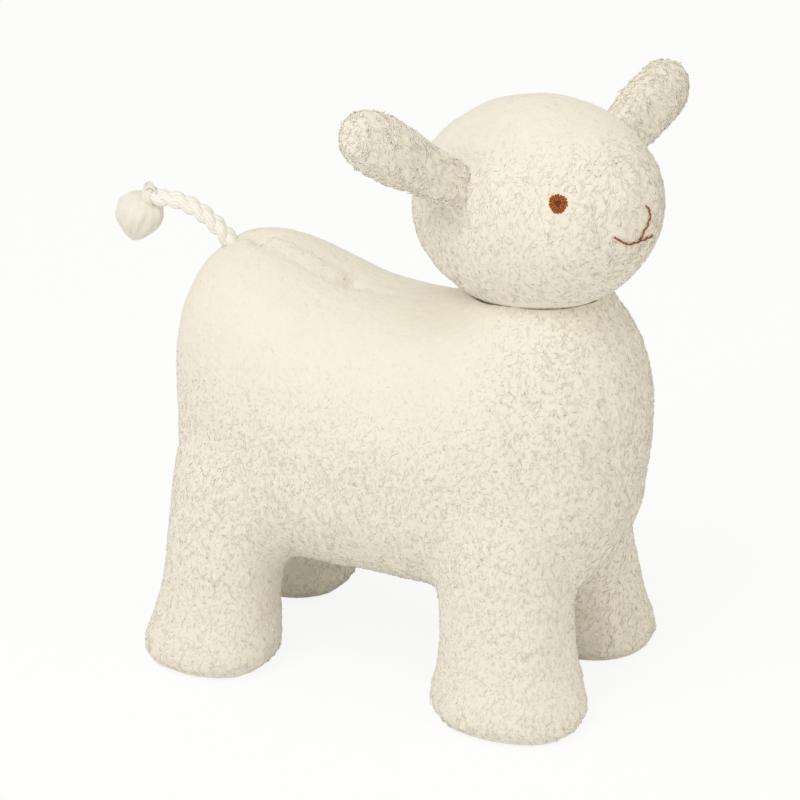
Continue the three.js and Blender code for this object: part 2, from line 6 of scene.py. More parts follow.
import bmesh
import bpy
import numpy as np
from bpy.props import FloatProperty, FloatVectorProperty, IntProperty, PointerProperty
from bpy.types import Operator, Panel, PropertyGroup
from mathutils import Matrix, Vector, noise
from mathutils.bvhtree import BVHTree
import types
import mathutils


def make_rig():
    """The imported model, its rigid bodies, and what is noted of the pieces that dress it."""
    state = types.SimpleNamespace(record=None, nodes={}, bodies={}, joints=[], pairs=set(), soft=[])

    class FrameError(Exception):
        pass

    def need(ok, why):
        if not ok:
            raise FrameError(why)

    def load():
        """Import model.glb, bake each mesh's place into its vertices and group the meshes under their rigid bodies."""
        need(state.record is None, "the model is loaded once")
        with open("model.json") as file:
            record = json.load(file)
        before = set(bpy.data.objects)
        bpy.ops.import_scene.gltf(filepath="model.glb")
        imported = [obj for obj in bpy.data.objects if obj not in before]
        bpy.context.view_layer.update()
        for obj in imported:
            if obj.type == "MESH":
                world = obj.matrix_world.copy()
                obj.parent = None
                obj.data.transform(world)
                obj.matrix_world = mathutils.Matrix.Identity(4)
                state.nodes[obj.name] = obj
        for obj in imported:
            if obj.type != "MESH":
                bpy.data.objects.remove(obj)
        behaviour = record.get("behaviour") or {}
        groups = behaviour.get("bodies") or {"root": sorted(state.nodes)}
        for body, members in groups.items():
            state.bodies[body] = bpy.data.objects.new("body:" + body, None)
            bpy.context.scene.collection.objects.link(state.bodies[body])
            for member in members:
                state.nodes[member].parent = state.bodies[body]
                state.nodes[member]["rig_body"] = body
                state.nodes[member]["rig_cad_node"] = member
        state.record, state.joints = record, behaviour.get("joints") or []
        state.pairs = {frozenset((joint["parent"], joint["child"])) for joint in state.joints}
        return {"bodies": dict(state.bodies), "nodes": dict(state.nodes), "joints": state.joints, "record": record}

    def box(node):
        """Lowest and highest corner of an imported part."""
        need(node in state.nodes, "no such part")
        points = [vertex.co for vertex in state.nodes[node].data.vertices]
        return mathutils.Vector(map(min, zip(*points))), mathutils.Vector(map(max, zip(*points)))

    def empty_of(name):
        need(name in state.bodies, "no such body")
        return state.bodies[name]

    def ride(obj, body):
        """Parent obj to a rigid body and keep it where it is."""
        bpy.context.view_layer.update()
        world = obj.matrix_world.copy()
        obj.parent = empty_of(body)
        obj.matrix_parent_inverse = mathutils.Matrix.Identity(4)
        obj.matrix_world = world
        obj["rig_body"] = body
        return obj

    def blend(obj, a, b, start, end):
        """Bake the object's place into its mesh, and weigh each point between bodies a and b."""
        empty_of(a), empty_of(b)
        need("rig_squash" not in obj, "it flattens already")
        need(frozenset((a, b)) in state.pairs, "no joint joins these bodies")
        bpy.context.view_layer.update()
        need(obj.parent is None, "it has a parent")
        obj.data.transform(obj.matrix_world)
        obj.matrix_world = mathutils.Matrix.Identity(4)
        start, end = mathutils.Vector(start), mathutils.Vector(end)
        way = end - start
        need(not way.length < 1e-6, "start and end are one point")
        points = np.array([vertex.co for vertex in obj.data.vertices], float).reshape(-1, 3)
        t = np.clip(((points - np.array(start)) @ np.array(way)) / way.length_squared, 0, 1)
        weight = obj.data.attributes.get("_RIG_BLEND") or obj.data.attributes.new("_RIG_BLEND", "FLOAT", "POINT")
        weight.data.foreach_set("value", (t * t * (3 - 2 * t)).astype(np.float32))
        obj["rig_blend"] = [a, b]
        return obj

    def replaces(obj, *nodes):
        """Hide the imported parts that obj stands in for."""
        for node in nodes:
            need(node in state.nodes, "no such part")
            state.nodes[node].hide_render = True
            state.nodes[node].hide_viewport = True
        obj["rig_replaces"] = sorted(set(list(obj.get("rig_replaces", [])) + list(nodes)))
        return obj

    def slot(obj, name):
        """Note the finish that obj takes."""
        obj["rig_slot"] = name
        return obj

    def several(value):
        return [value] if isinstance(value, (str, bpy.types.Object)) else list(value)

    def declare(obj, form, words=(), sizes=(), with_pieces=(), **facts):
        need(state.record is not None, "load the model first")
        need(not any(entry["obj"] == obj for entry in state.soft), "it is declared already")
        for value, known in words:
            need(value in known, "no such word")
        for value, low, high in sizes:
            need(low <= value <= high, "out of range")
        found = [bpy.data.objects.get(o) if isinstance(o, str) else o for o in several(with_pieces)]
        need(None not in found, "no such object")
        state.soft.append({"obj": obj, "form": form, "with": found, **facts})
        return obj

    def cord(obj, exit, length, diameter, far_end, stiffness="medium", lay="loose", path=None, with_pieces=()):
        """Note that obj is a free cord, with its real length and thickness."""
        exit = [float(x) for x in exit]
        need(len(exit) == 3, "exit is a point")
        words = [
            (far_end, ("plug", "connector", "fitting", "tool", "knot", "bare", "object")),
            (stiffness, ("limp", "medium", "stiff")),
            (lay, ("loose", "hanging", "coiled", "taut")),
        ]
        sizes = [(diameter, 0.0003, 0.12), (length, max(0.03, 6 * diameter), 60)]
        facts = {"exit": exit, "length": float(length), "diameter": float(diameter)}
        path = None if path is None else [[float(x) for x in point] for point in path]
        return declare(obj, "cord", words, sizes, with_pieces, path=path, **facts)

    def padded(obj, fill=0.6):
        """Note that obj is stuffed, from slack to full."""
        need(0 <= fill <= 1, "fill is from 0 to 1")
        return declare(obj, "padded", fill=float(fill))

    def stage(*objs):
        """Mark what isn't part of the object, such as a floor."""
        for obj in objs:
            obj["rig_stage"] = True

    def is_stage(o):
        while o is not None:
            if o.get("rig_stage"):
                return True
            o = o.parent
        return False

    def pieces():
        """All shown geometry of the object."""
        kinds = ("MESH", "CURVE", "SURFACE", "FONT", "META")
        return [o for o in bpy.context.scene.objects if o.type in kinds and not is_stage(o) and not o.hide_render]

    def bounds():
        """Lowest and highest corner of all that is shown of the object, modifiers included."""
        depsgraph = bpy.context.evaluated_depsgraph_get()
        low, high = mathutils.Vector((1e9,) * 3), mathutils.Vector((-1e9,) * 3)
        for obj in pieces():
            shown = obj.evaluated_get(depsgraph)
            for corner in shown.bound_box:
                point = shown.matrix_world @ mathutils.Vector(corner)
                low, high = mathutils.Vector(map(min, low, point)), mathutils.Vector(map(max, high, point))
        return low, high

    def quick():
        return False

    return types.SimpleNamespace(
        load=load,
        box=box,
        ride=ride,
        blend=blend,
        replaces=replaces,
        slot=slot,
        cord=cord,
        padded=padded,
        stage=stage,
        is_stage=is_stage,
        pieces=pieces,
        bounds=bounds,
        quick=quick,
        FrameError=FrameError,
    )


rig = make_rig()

bl_info = {
    "name": "Plush sheep",
    "version": (1, 0, 0),
    "blender": (4, 5, 0),
    "location": "3D View > Sidebar > Plush Sheep",
    "description": "Dresses the packed sheep with its pile fabric, stitching and cord tail",
    "category": "Object",
}

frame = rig.load()
packed_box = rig.bounds()
joints = {joint["name"]: joint for joint in frame["joints"]}
MM = 0.001


def pivot(joint):
    return Vector(joints[joint]["pos_m"])


def axis(joint):
    return Vector(joints[joint]["axis"]).normalized()


def box_of(*nodes):
    """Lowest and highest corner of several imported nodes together."""
    corners = [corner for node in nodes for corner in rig.box(node)]
    low = Vector([min(corner[i] for corner in corners) for i in range(3)])
    high = Vector([max(corner[i] for corner in corners) for i in range(3)])
    return low, high


# How far the middle of the feet lies behind the frame's origin
FEET_BEHIND = 8.9 * MM

body_low, body_high = box_of("side_panel_left", "side_panel_right", "belly_gusset")
middle_left = (pivot("leg_front_left_flex").y + pivot("leg_front_right_flex").y) / 2
feet_middle = Vector((-FEET_BEHIND, middle_left, 0))
body_middle = Vector(((body_low.x + body_high.x) / 2, middle_left, 0))
LEGS = [f"leg_{end}_{side}" for end in ("front", "rear") for side in ("left", "right")]
SIDES = {"left": 1, "right": -1}


def length_of(label, description, value):
    return FloatProperty(
        name=label, description=description, default=value, unit="LENGTH", precision=4
    )


def angle_of(label, description, degrees):
    return FloatProperty(
        name=label, description=description, default=math.radians(degrees), subtype="ANGLE"
    )


def colour_of(label, description, red, green, blue):
    """A colour written as it looks on screen, from 0 to 255 a channel, made linear."""
    linear = [((c / 255 + 0.055) / 1.055) ** 2.4 for c in (red, green, blue)]
    return FloatVectorProperty(
        name=label, description=description, default=linear, size=3, subtype="COLOR"
    )


class SheepBody(PropertyGroup):
    """Sizes of the stuffed body and legs"""

    length: length_of("Length", "Rump to chest", body_high.x - body_low.x)
    width: length_of("Width", "Across the belly", 116 * MM)
    axis_height: length_of("Axis height", "Ground to the body's middle line", 105 * MM)
    back_rise: length_of("Back rise", "Middle line to the back", 62 * MM)
    belly_drop: length_of("Belly drop", "Middle line to the belly", 60 * MM)
    top_lean: length_of("Top lean", "How far the back's ends lean out", 4 * MM)
    chest_tuck: length_of("Chest tuck", "How far the chest comes forward below", 2 * MM)
    gusset_width: length_of("Gusset width", "Width of the belly strip", 46 * MM)
    gusset_rear: length_of("Gusset rear height", "Where the strip ends at the rump", 96 * MM)
    gusset_front: length_of("Gusset front height", "Where the strip ends at the chest", 166 * MM)
    front_foot: length_of("Front foot length", "Length of a front foot", 68 * MM)
    rear_foot: length_of("Rear foot length", "Length of a rear foot", 60 * MM)
    foot_width: length_of("Foot width", "Width of every foot", 56 * MM)
    hip_radius: length_of("Hip radius", "Roundness of a leg's top", 28 * MM)
    swell: length_of("Swell", "How far the filling may push the cloth out", 2.4 * MM)


class SheepHead(PropertyGroup):
    """Sizes of the head and ears"""

    length: length_of("Length", "Nose to nape", 126 * MM)
    width: length_of("Width", "Cheek to cheek", 87 * MM)
    height: length_of("Height", "Chin to crown", 93 * MM)
    muzzle_taper: FloatProperty(
        name="Muzzle taper", description="How much the nose end narrows", default=0.10
    )
    neck_radius: length_of("Neck ball radius", "Ball that the head turns on", 34 * MM)
    neck_reach: length_of("Neck ball reach", "How far the ball stands out below", 4.5 * MM)
    bowl_relief: length_of("Bowl relief", "Room between head and shoulders", -1.0 * MM)
    ear_length: length_of("Ear length", "Root to tip", 68 * MM)
    ear_width: length_of("Ear width", "Across the ear", 28 * MM)
    ear_thickness: length_of("Ear thickness", "Through the padding", 20 * MM)
    ear_root: length_of("Ear root radius", "Roundness of the ear's root", 10 * MM)
    ear_behind: length_of("Ear behind", "Root behind the head's middle", 5 * MM)
    ear_aside: length_of("Ear aside", "Root beside the head's middle", 39 * MM)
    ear_above: length_of("Ear above", "Root above the head's middle", 11 * MM)
    ear_raised: angle_of("Ear raised", "How far the ear points up", 29.5)
    ear_swept: angle_of("Ear swept back", "How far the ear points back", 1)
    eye_diameter: length_of("Eye diameter", "Across an embroidered eye", 8.6 * MM)
    eye_aside: length_of("Eye aside", "Eye beside the middle line", 29.6 * MM)
    eye_above: length_of("Eye above", "Eye above the head's middle", 3.6 * MM)
    face_thread: length_of("Face thread", "Thickness of the face's stitches", 0.85 * MM)


class SheepTail(PropertyGroup):
    """Sizes of the braided tail"""

    diameter: length_of("Cord diameter", "Across the braid", 8 * MM)
    braid_pitch: length_of("Braid pitch", "One full turn of the braid", 21 * MM)
    whipping_length: length_of("Whipping length", "Length of the wound yarn", 4 * MM)
    tuft_length: length_of("Tuft length", "Length of the frayed end", 22.5 * MM)
    tuft_width: length_of("Tuft width", "Width of the frayed end", 20 * MM)
    tuft_hang: angle_of("Tuft hang", "How steeply the frayed end hangs", 75)


class SheepPile(PropertyGroup):
    """The curls of the pile"""

    curl_length: length_of("Curl length", "Length of one curl", 3.2 * MM)
    curl_thickness: length_of("Curl thickness", "Thickness of one curl", 0.62 * MM)
    curl_rise: length_of("Curl rise", "How far a curl stands off the cloth", 0.3 * MM)
    clump: length_of("Clump", "How far a clump of curls stands above the next", 0.6 * MM)
    curl_wander: length_of("Curl wander", "How far a curl bends aside", 9 * MM)
    spacing: length_of("Spacing", "Least distance between two curls", 1.26 * MM)
    inset: length_of("Inset", "How far the cloth lies below the pile", 0.7 * MM)
    seed: IntProperty(name="Seed", description="Order of the curls", default=7)


class SheepColours(PropertyGroup):
    """Colours of the fabrics and threads"""

    curl: colour_of("Curl", "Tips of the pile", 247, 243, 234)
    # Painted shade: the curls darken towards this colour at their roots, the cloth between them is painted partly in
    # it, and the sewing thread darkens towards it between its plies.
    painted_pile_shade: colour_of("Deep curl", "Roots of the pile", 245, 239, 226)
    # Painted shade: the cloth between the curls is painted darker than the curls; the frayed end of the tail is also
    # mottled with this colour.
    cloth: colour_of("Cloth", "Backing cloth between the curls", 239, 234, 222)
    cord: colour_of("Cord", "Braided tail", 253, 252, 248)
    # Painted shade: the braid darkens towards this colour between its strands; the frayed end takes it as its own
    # paler tone.
    cord_shade_and_tuft: colour_of("Deep cord", "Between the strands of the tail", 240, 238, 230)
    thread: colour_of("Thread", "Sewing thread", 243, 236, 220)
    copper: colour_of("Copper", "Lit embroidery thread", 204, 122, 62)
    # Painted shade: the copper thread darkens towards this colour between its plies, the mouth's thread is darkened
    # with it, and it fills the dark pad in an eye's middle.
    copper_shade: colour_of("Umber", "Deep embroidery thread", 114, 58, 24)
    floor: colour_of("Floor", "Studio floor", 250, 250, 250)


# Numbers shared by several pieces

def smoothstep(low, high, value):
    share = np.clip((value - low) / (high - low), 0, 1)
    return share * share * (3 - 2 * share)


def bell(distance, width):
    return np.exp(-((distance / width) ** 2))


def roughen(points, size, seed=0.0):
    """Smooth noise from -1 to 1 at every point, with bumps of about that size."""
    offset = Vector((seed, 2 * seed, 3 * seed))
    return np.array([noise.noise(Vector(point) / size + offset) for point in points])


# Lofted forms

def smooth_rows(rows, steps, pole_start=False, pole_end=False):
    """Rows of a share table read along one smooth curve. At a pole the shares fall to nothing."""
    rows = np.array(rows, float)
    fold = np.array([1.0] + [-1.0] * (rows.shape[1] - 1))
    before = rows[1] * fold if pole_start else 2 * rows[0] - rows[1]
    after = rows[-2] * fold if pole_end else 2 * rows[-1] - rows[-2]
    knots = np.vstack([before, rows, after])
    smooth = []
    for a, b, c, d in zip(knots, knots[1:], knots[2:], knots[3:]):
        for step in range(steps):
            t = step / steps
            bend = (2 * a - 5 * b + 4 * c - d) * t * t + (3 * b - a - 3 * c + d) * t ** 3
            smooth.append(b + 0.5 * ((c - a) * t + bend))
    smooth.append(rows[-1])
    return np.array(smooth)


def section(middle, side, rise, drop, power, around):
    """One rounded section: a full ellipse at power 2, squarer above it."""
    turn = np.arange(around) / around * 2 * math.pi
    across = np.sign(np.cos(turn)) * np.abs(np.cos(turn)) ** (2 / power)
    up = np.sign(np.sin(turn)) * np.abs(np.sin(turn)) ** (2 / power)
    height = np.where(up[:, None] > 0, np.array(rise), np.array(drop))
    return np.array(middle) + np.array(side) * across[:, None] + height * up[:, None]


def bridge(here, there, start):
    """Faces between two rings of a loft, either of which may be a single point."""
    count = max(here, there)
    onward = start + here
    faces = []
    for j in range(count):
        k = (j + 1) % count
        if here == 1:
            faces.append((start, onward + k, onward + j))
        elif there == 1:
            faces.append((start + j, start + k, onward))
        else:
            faces.append((start + j, start + k, onward + k, onward + j))
    return faces


def loft(rings):
    """Points and faces of a closed form over a row of rings."""
    rings = [np.atleast_2d(ring) for ring in rings]
    faces = []
    start = 0
    for here, there in zip(rings, rings[1:]):
        faces += bridge(len(here), len(there), start)
        start += len(here)
    return np.vstack(rings), faces


def join_forms(forms):
    """Several lofted forms as one list of points and faces."""
    points, faces, start = [], [], 0
    for form_points, form_faces in forms:
        points.append(form_points)
        faces += [tuple(start + i for i in face) for face in form_faces]
        start += len(form_points)
    return np.vstack(points), faces


def open_skin(name, points, faces, *materials):
    """A new object at the origin whose faces already point outwards."""
    mesh = bpy.data.meshes.new(name)
    mesh.from_pydata([tuple(point) for point in points], [], faces)
    for material in materials:
        mesh.materials.append(material)
    mesh.polygons.foreach_set("use_smooth", [True] * len(mesh.polygons))
    made = bpy.data.objects.new(name, mesh)
    bpy.context.scene.collection.objects.link(made)
    return made


def piece(name, points, faces, *materials):
    """A closed object at the origin, with its faces turned outwards."""
    made = open_skin(name, points, faces, *materials)
    work = bmesh.new()
    work.from_mesh(made.data)
    bmesh.ops.recalc_face_normals(work, faces=work.faces)
    work.to_mesh(made.data)
    work.free()
    return made


def points_of(made):
    flat = np.empty(len(made.data.vertices) * 3)
    made.data.vertices.foreach_get("co", flat)
    return flat.reshape(-1, 3)


def place_points(made, points):
    made.data.vertices.foreach_set("co", np.asarray(points, float).ravel())
    made.data.update()


def normals_of(made):
    flat = np.empty(len(made.data.vertices) * 3)
    made.data.vertex_normals.foreach_get("vector", flat)
    return flat.reshape(-1, 3)


def work_in(made):
    """Turns an object's live modifiers into its plain mesh."""
    graph = bpy.context.evaluated_depsgraph_get()
    mesh = bpy.data.meshes.new_from_object(made.evaluated_get(graph))
    mesh.name = made.name
    made.modifiers.clear()
    made.data = mesh
    return made


def modify(made, kind, **settings):
    modifier = made.modifiers.new(kind.lower(), kind)
    for name, value in settings.items():
        setattr(modifier, name, value)
    return modifier


def subdivide(made):
    modify(made, "SUBSURF", levels=1, render_levels=1)
    return work_in(made)


# Stuffing: cloth under pressure, held along its seams

PRESSURE = 4
SWELL_FRAMES = 20
SMOOTHING = 0.5
LEAST_MOVE = 1e-9


def stuff(made, voxel, rounds, held, cap):
    """Remeshes a form, rounds its joins and lets pressure swell the cloth between its seams."""
    modify(made, "REMESH", mode="VOXEL", voxel_size=voxel)
    modify(made, "SMOOTH", factor=SMOOTHING, iterations=rounds)
    work_in(made)
    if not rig.quick():
        start = points_of(made)
        seams = made.vertex_groups.new(name="seams")
        for index, weight in enumerate(held(start)):
            if weight > 0:
                seams.add([index], float(weight), "REPLACE")
        cloth = made.modifiers.new("pressure", "CLOTH")
        cloth.settings.vertex_group_mass = seams.name
        cloth.settings.use_pressure = True
        cloth.settings.uniform_pressure_force = PRESSURE
        cloth.settings.effector_weights.gravity = 0
        cloth.point_cache.frame_start = 1
        cloth.point_cache.frame_end = SWELL_FRAMES
        for step in range(1, SWELL_FRAMES + 1):
            bpy.context.scene.frame_set(step)
        work_in(made)
        bpy.context.scene.frame_set(1)
        made.vertex_groups.clear()
        moved = points_of(made) - start
        far = np.maximum(np.linalg.norm(moved, axis=1, keepdims=True), LEAST_MOVE)
        place_points(made, start + moved * np.minimum(1, cap / far))
    return subdivide(made)


# Materials

def add_node(tree, kind, values=None, **settings):
    """A node with its settings, its values and its links from other nodes' sockets."""
    made = tree.nodes.new(kind)
    for name, value in settings.items():
        setattr(made, name, value)
    for name, value in (values or {}).items():
        if isinstance(name, int):
            socket = made.inputs[name]
        else:
            socket = next(s for s in made.inputs if s.name == name and s.enabled)
        if isinstance(value, bpy.types.NodeSocket):
            tree.links.new(value, socket)
        else:
            socket.default_value = value
    return made


def shader_group(name, inputs, outputs):
    """An empty shader node group with named inputs and outputs."""
    group = bpy.data.node_groups.new(name, "ShaderNodeTree")
    for label, kind, value in inputs:
        socket = group.interface.new_socket(name=label, in_out="INPUT", socket_type=kind)
        socket.default_value = value
    for label, kind in outputs:
        group.interface.new_socket(name=label, in_out="OUTPUT", socket_type=kind)
    return group, group.nodes.new("NodeGroupInput"), group.nodes.new("NodeGroupOutput")


def maths(tree, operation, *values, clamp=False):
    return add_node(
        tree, "ShaderNodeMath", dict(enumerate(values)), operation=operation, use_clamp=clamp
    ).outputs[0]


def remapped(tree, value, low, high, to_low=0.0, to_high=1.0):
    """A value carried over from one range to another."""
    return add_node(tree, "ShaderNodeMapRange", {
        "Value": value, "From Min": low, "From Max": high, "To Min": to_low, "To Max": to_high,
    }).outputs[0]


def two_colours(tree, share, first, second):
    return add_node(
        tree, "ShaderNodeMix", {"Factor": share, "A": first, "B": second}, data_type="RGBA"
    ).outputs[2]


WHITE = (1, 1, 1, 1)
NUMBER = "NodeSocketFloat"
COLOUR = "NodeSocketColor"


def speckle_group():
    """Two colours mixed in patches and in fine specks, with a matching height."""
    if "fabric_speckle" in bpy.data.node_groups:
        return bpy.data.node_groups["fabric_speckle"]
    group, given, out = shader_group(
        "fabric_speckle",
        [
            ("Light", COLOUR, WHITE),
            ("Deep", COLOUR, WHITE),
            ("Depth", NUMBER, 0.5),
            ("Patch scale", NUMBER, 40.0),
            ("Fleck scale", NUMBER, 900.0),
        ],
        [("Colour", COLOUR), ("Height", NUMBER)],
    )
    place = add_node(group, "ShaderNodeTexCoord").outputs["Object"]
    patch = add_node(group, "ShaderNodeTexNoise", {
        "Vector": place, "Scale": given.outputs["Patch scale"], "Detail": 2.0,
    }).outputs[0]
    fleck = add_node(group, "ShaderNodeTexNoise", {
        "Vector": place, "Scale": given.outputs["Fleck scale"], "Detail": 2.0,
        "Distortion": 1.4,
    }).outputs[0]
    uneven = remapped(group, maths(group, "ADD", patch, fleck), 0.75, 1.3, 0.0, 0.45)
    share = maths(group, "ADD", uneven, given.outputs["Depth"], clamp=True)
    colour = two_colours(group, share, given.outputs["Light"], given.outputs["Deep"])
    group.links.new(colour, out.inputs["Colour"])
    group.links.new(fleck, out.inputs["Height"])
    return group


def twist_group():
    """Ridges of twisted yarn along a piece's own UV map, where U runs along the strand, painted darker in the grooves
    between the plies as painted shade.
    """
    if "yarn_twist" in bpy.data.node_groups:
        return bpy.data.node_groups["yarn_twist"]
    group, given, out = shader_group(
        "yarn_twist",
        [
            ("Light", COLOUR, WHITE),
            ("Deep", COLOUR, WHITE),
            ("Plies", NUMBER, 4.0),
            ("Turns", NUMBER, 400.0),
        ],
        [("Colour", COLOUR), ("Height", NUMBER)],
    )
    place = add_node(group, "ShaderNodeUVMap", uv_map="strand").outputs["UV"]
    split = add_node(group, "ShaderNodeSeparateXYZ", {"Vector": place})
    along = maths(group, "MULTIPLY", split.outputs["X"], given.outputs["Turns"])
    around = maths(group, "MULTIPLY", split.outputs["Y"], given.outputs["Plies"])
    turn = maths(group, "MULTIPLY", maths(group, "ADD", along, around), 2 * math.pi)
    height = remapped(group, maths(group, "SINE", turn), -1.0, 1.0)
    # Painted shade: darker in the grooves between the plies, lighter on their ridges.
    colour = two_colours(group, height, given.outputs["Deep"], given.outputs["Light"])
    group.links.new(colour, out.inputs["Colour"])
    group.links.new(height, out.inputs["Height"])
    return group


def new_material(name, **shader_values):
    material = bpy.data.materials.new(name)
    material.use_nodes = True
    tree = material.node_tree
    tree.nodes.clear()
    shader = add_node(tree, "ShaderNodeBsdfPrincipled", {
        label.replace("_", " ").title(): value for label, value in shader_values.items()
    })
    output = tree.nodes.new("ShaderNodeOutputMaterial")
    tree.links.new(shader.outputs[0], output.inputs["Surface"])
    return material, tree, shader


def surfaced(tree, shader, group, strength, relief, values, under=None):
    """Feeds a material from a colour group, whose height is its relief over the one under it."""
    placed = add_node(tree, "ShaderNodeGroup", values, node_tree=group)
    bump = add_node(tree, "ShaderNodeBump", {
        "Height": placed.outputs["Height"], "Strength": strength, "Distance": relief,
    })
    if under is not None:
        tree.links.new(under, bump.inputs["Normal"])
    tree.links.new(placed.outputs["Colour"], shader.inputs["Base Color"])
    tree.links.new(bump.outputs[0], shader.inputs["Normal"])


def opaque(colour, strength=1.0):
    return (*[channel * strength for channel in colour], 1)


def cached(name, make):
    return bpy.data.materials.get(name) or make(name)


# Brushed fibres catch the light at the edge of a form
SOFT_SHEEN = {"sheen_weight": 0.3, "sheen_roughness": 0.5}


def clump_normal(tree):
    """Soft mounds a few millimetres wide, the same over the cloth and its curls."""
    place = add_node(tree, "ShaderNodeTexCoord").outputs["Object"]
    mounds = add_node(tree, "ShaderNodeTexNoise", {
        "Vector": place, "Scale": 260.0, "Detail": 1.0, "Roughness": 0.4,
    }).outputs[0]
    return add_node(tree, "ShaderNodeBump", {
        "Height": mounds, "Strength": 0.7, "Distance": 1.2 * MM,
    }).outputs[0]


def cloth_material(name):
    """Backing cloth between the curls, with fine loops of its own, painted a little darker than the curls as painted
    shade between them.
    """
    colours = bpy.context.scene.sheep_colours
    material, tree, shader = new_material(name, roughness=0.95, **SOFT_SHEEN)
    surfaced(tree, shader, speckle_group(), 0.35, 0.6 * MM, {
        "Light": opaque(colours.painted_pile_shade),
        "Deep": opaque(colours.cloth),
        "Depth": 0.2,
        "Fleck scale": 420.0,
    }, clump_normal(tree))
    return material


def curl_material(name):
    """Curls of the pile: pale on top, darker and warmer towards the cloth where their ends dip into it as painted
    shade, each a little different.
    """
    colours = bpy.context.scene.sheep_colours
    material, tree, shader = new_material(name, roughness=0.92, **SOFT_SHEEN)
    tip = add_node(tree, "ShaderNodeAttribute", attribute_name="curl_tip").outputs["Fac"]
    tone = add_node(tree, "ShaderNodeAttribute", attribute_name="curl_tone").outputs["Fac"]
    # Painted shade: the curls darken towards the deep colour where their ends dip into the cloth.
    root = remapped(tree, tip, 0.15, 0.9, 0.45, 0.0)
    odd = remapped(tree, tone, 0.0, 1.0, -0.12, 0.12)
    surfaced(tree, shader, speckle_group(), 0.3, 0.3 * MM, {
        "Light": opaque(colours.curl),
        "Deep": opaque(colours.painted_pile_shade),
        "Depth": maths(tree, "ADD", root, odd),
        "Patch scale": 25.0,
        "Fleck scale": 1500.0,
    }, clump_normal(tree))
    return material


def fluff_material(name):
    """Brushed yarn of the tail's frayed end."""
    colours = bpy.context.scene.sheep_colours
    material, tree, shader = new_material(name, roughness=0.9, sheen_weight=0.1)
    surfaced(tree, shader, speckle_group(), 0.4, 0.2 * MM, {
        "Light": opaque(colours.cord_shade_and_tuft),
        "Deep": opaque(colours.cloth),
        "Depth": 0.1,
        "Patch scale": 180.0,
        "Fleck scale": 1800.0,
    })
    return material


def shade_pad_material(name):
    """The dark pad in the middle of an eye, flecked darker: painted shade for the hole inside the wound rings."""
    colours = bpy.context.scene.sheep_colours
    material, tree, shader = new_material(name, roughness=0.6)
    surfaced(tree, shader, speckle_group(), 0.8, 0.2 * MM, {
        "Light": opaque(colours.copper_shade),
        "Deep": opaque(colours.copper_shade, 0.5),
        "Fleck scale": 2500.0,
    })
    return material


def yarn_material(name, light, deep, roughness, plies, turns, relief, gloss=0.5):
    """Twisted yarn with its plies running round the strand, with painted shade in the grooves between them."""
    material, tree, shader = new_material(name, roughness=roughness)
    shader.inputs["Specular IOR Level"].default_value = gloss
    surfaced(tree, shader, twist_group(), 0.6, relief, {
        "Light": opaque(light),
        "Deep": opaque(deep),
        "Plies": plies,
        "Turns": turns,
    })
    return material


def cord_material(name):
    # Painted shade: the braid darkens between its strands.
    colours = bpy.context.scene.sheep_colours
    return yarn_material(name, colours.cord, colours.cord_shade_and_tuft, 0.75, 9.0, 160.0, 0.25 * MM)


def thread_material(name):
    # Painted shade: the sewing thread darkens between its plies towards the pile's painted shade colour.
    colours = bpy.context.scene.sheep_colours
    return yarn_material(name, colours.thread, colours.painted_pile_shade, 0.7, 2.0, 500.0, 0.1 * MM)


def copper_material(name):
    # Painted shade: the copper thread darkens between its plies towards the copper shade.
    colours = bpy.context.scene.sheep_colours
    return yarn_material(name, colours.copper, colours.copper_shade, 0.6, 3.0, 900.0, 0.1 * MM, 0.15)


def mouth_material(name):
    """Copper thread that looks darker where it lies single and fine; that darkening is painted into its colour as
    painted shade.
    """
    colours = bpy.context.scene.sheep_colours
    # Painted shade: the mouth's copper is mixed with the darker shade colour.
    lit = [0.7 * a + 0.3 * b for a, b in zip(colours.copper, colours.copper_shade)]
    return yarn_material(name, lit, colours.copper_shade, 0.5, 2.0, 700.0, 0.1 * MM)


# Pile: curls grown over a skin by Geometry Nodes

PILE_INPUTS = [
    ("Skin", "NodeSocketGeometry"),
    ("Spacing", NUMBER),
    ("Length", NUMBER),
    ("Thickness", NUMBER),
    ("Rise", NUMBER),
    ("Clump", NUMBER),
    ("Wander", NUMBER),
    ("Seed", "NodeSocketInt"),
    ("Material", "NodeSocketMaterial"),
]

# Curls to a square metre before the spacing thins them, and the pile share's weight in that
DENSEST = 2.0e6
DENSITY_WEIGHT = 3.0

# Shares of a full curl: the least size and rise, the ends' girth and how far they dip
LEAST_SIZE = 0.6
LEAST_RISE = 0.2
END_GIRTH = 0.55
END_DIP = 0.45
UNEVEN_SIZES = (0.8, 1.15)

# How far a curl turns away from straight down, how deep the flattest ones sink, as a share
# of their thickness, and how fine the noise is that bends them and lifts their clumps
CURL_TURN = 1.1
DEEPEST = 1.25
BEND_NOISE = 280.0
CLUMP_NOISE = 240.0


def vectors(tree, operation, *values, scale=None):
    inputs = dict(enumerate(values))
    if scale is not None:
        inputs["Scale"] = scale
    made = add_node(tree, "ShaderNodeVectorMath", inputs, operation=operation)
    return made.outputs["Value" if operation == "DOT_PRODUCT" else "Vector"]


def named(tree, label, kind="FLOAT"):
    made = add_node(tree, "GeometryNodeInputNamedAttribute", data_type=kind)
    made.inputs["Name"].default_value = label
    return made.outputs["Attribute"]


def stored(tree, geometry, label, value, kind="FLOAT"):
    return add_node(tree, "GeometryNodeStoreNamedAttribute", {
        "Geometry": geometry, "Name": label, "Value": value,
    }, data_type=kind, domain="POINT").outputs["Geometry"]


def at_random(tree, given, low, high, extra):
    seed = maths(tree, "ADD", given["Seed"], float(extra))
    return add_node(
        tree, "FunctionNodeRandomValue", {2: low, 3: high, "Seed": seed}, data_type="FLOAT"
    ).outputs[1]


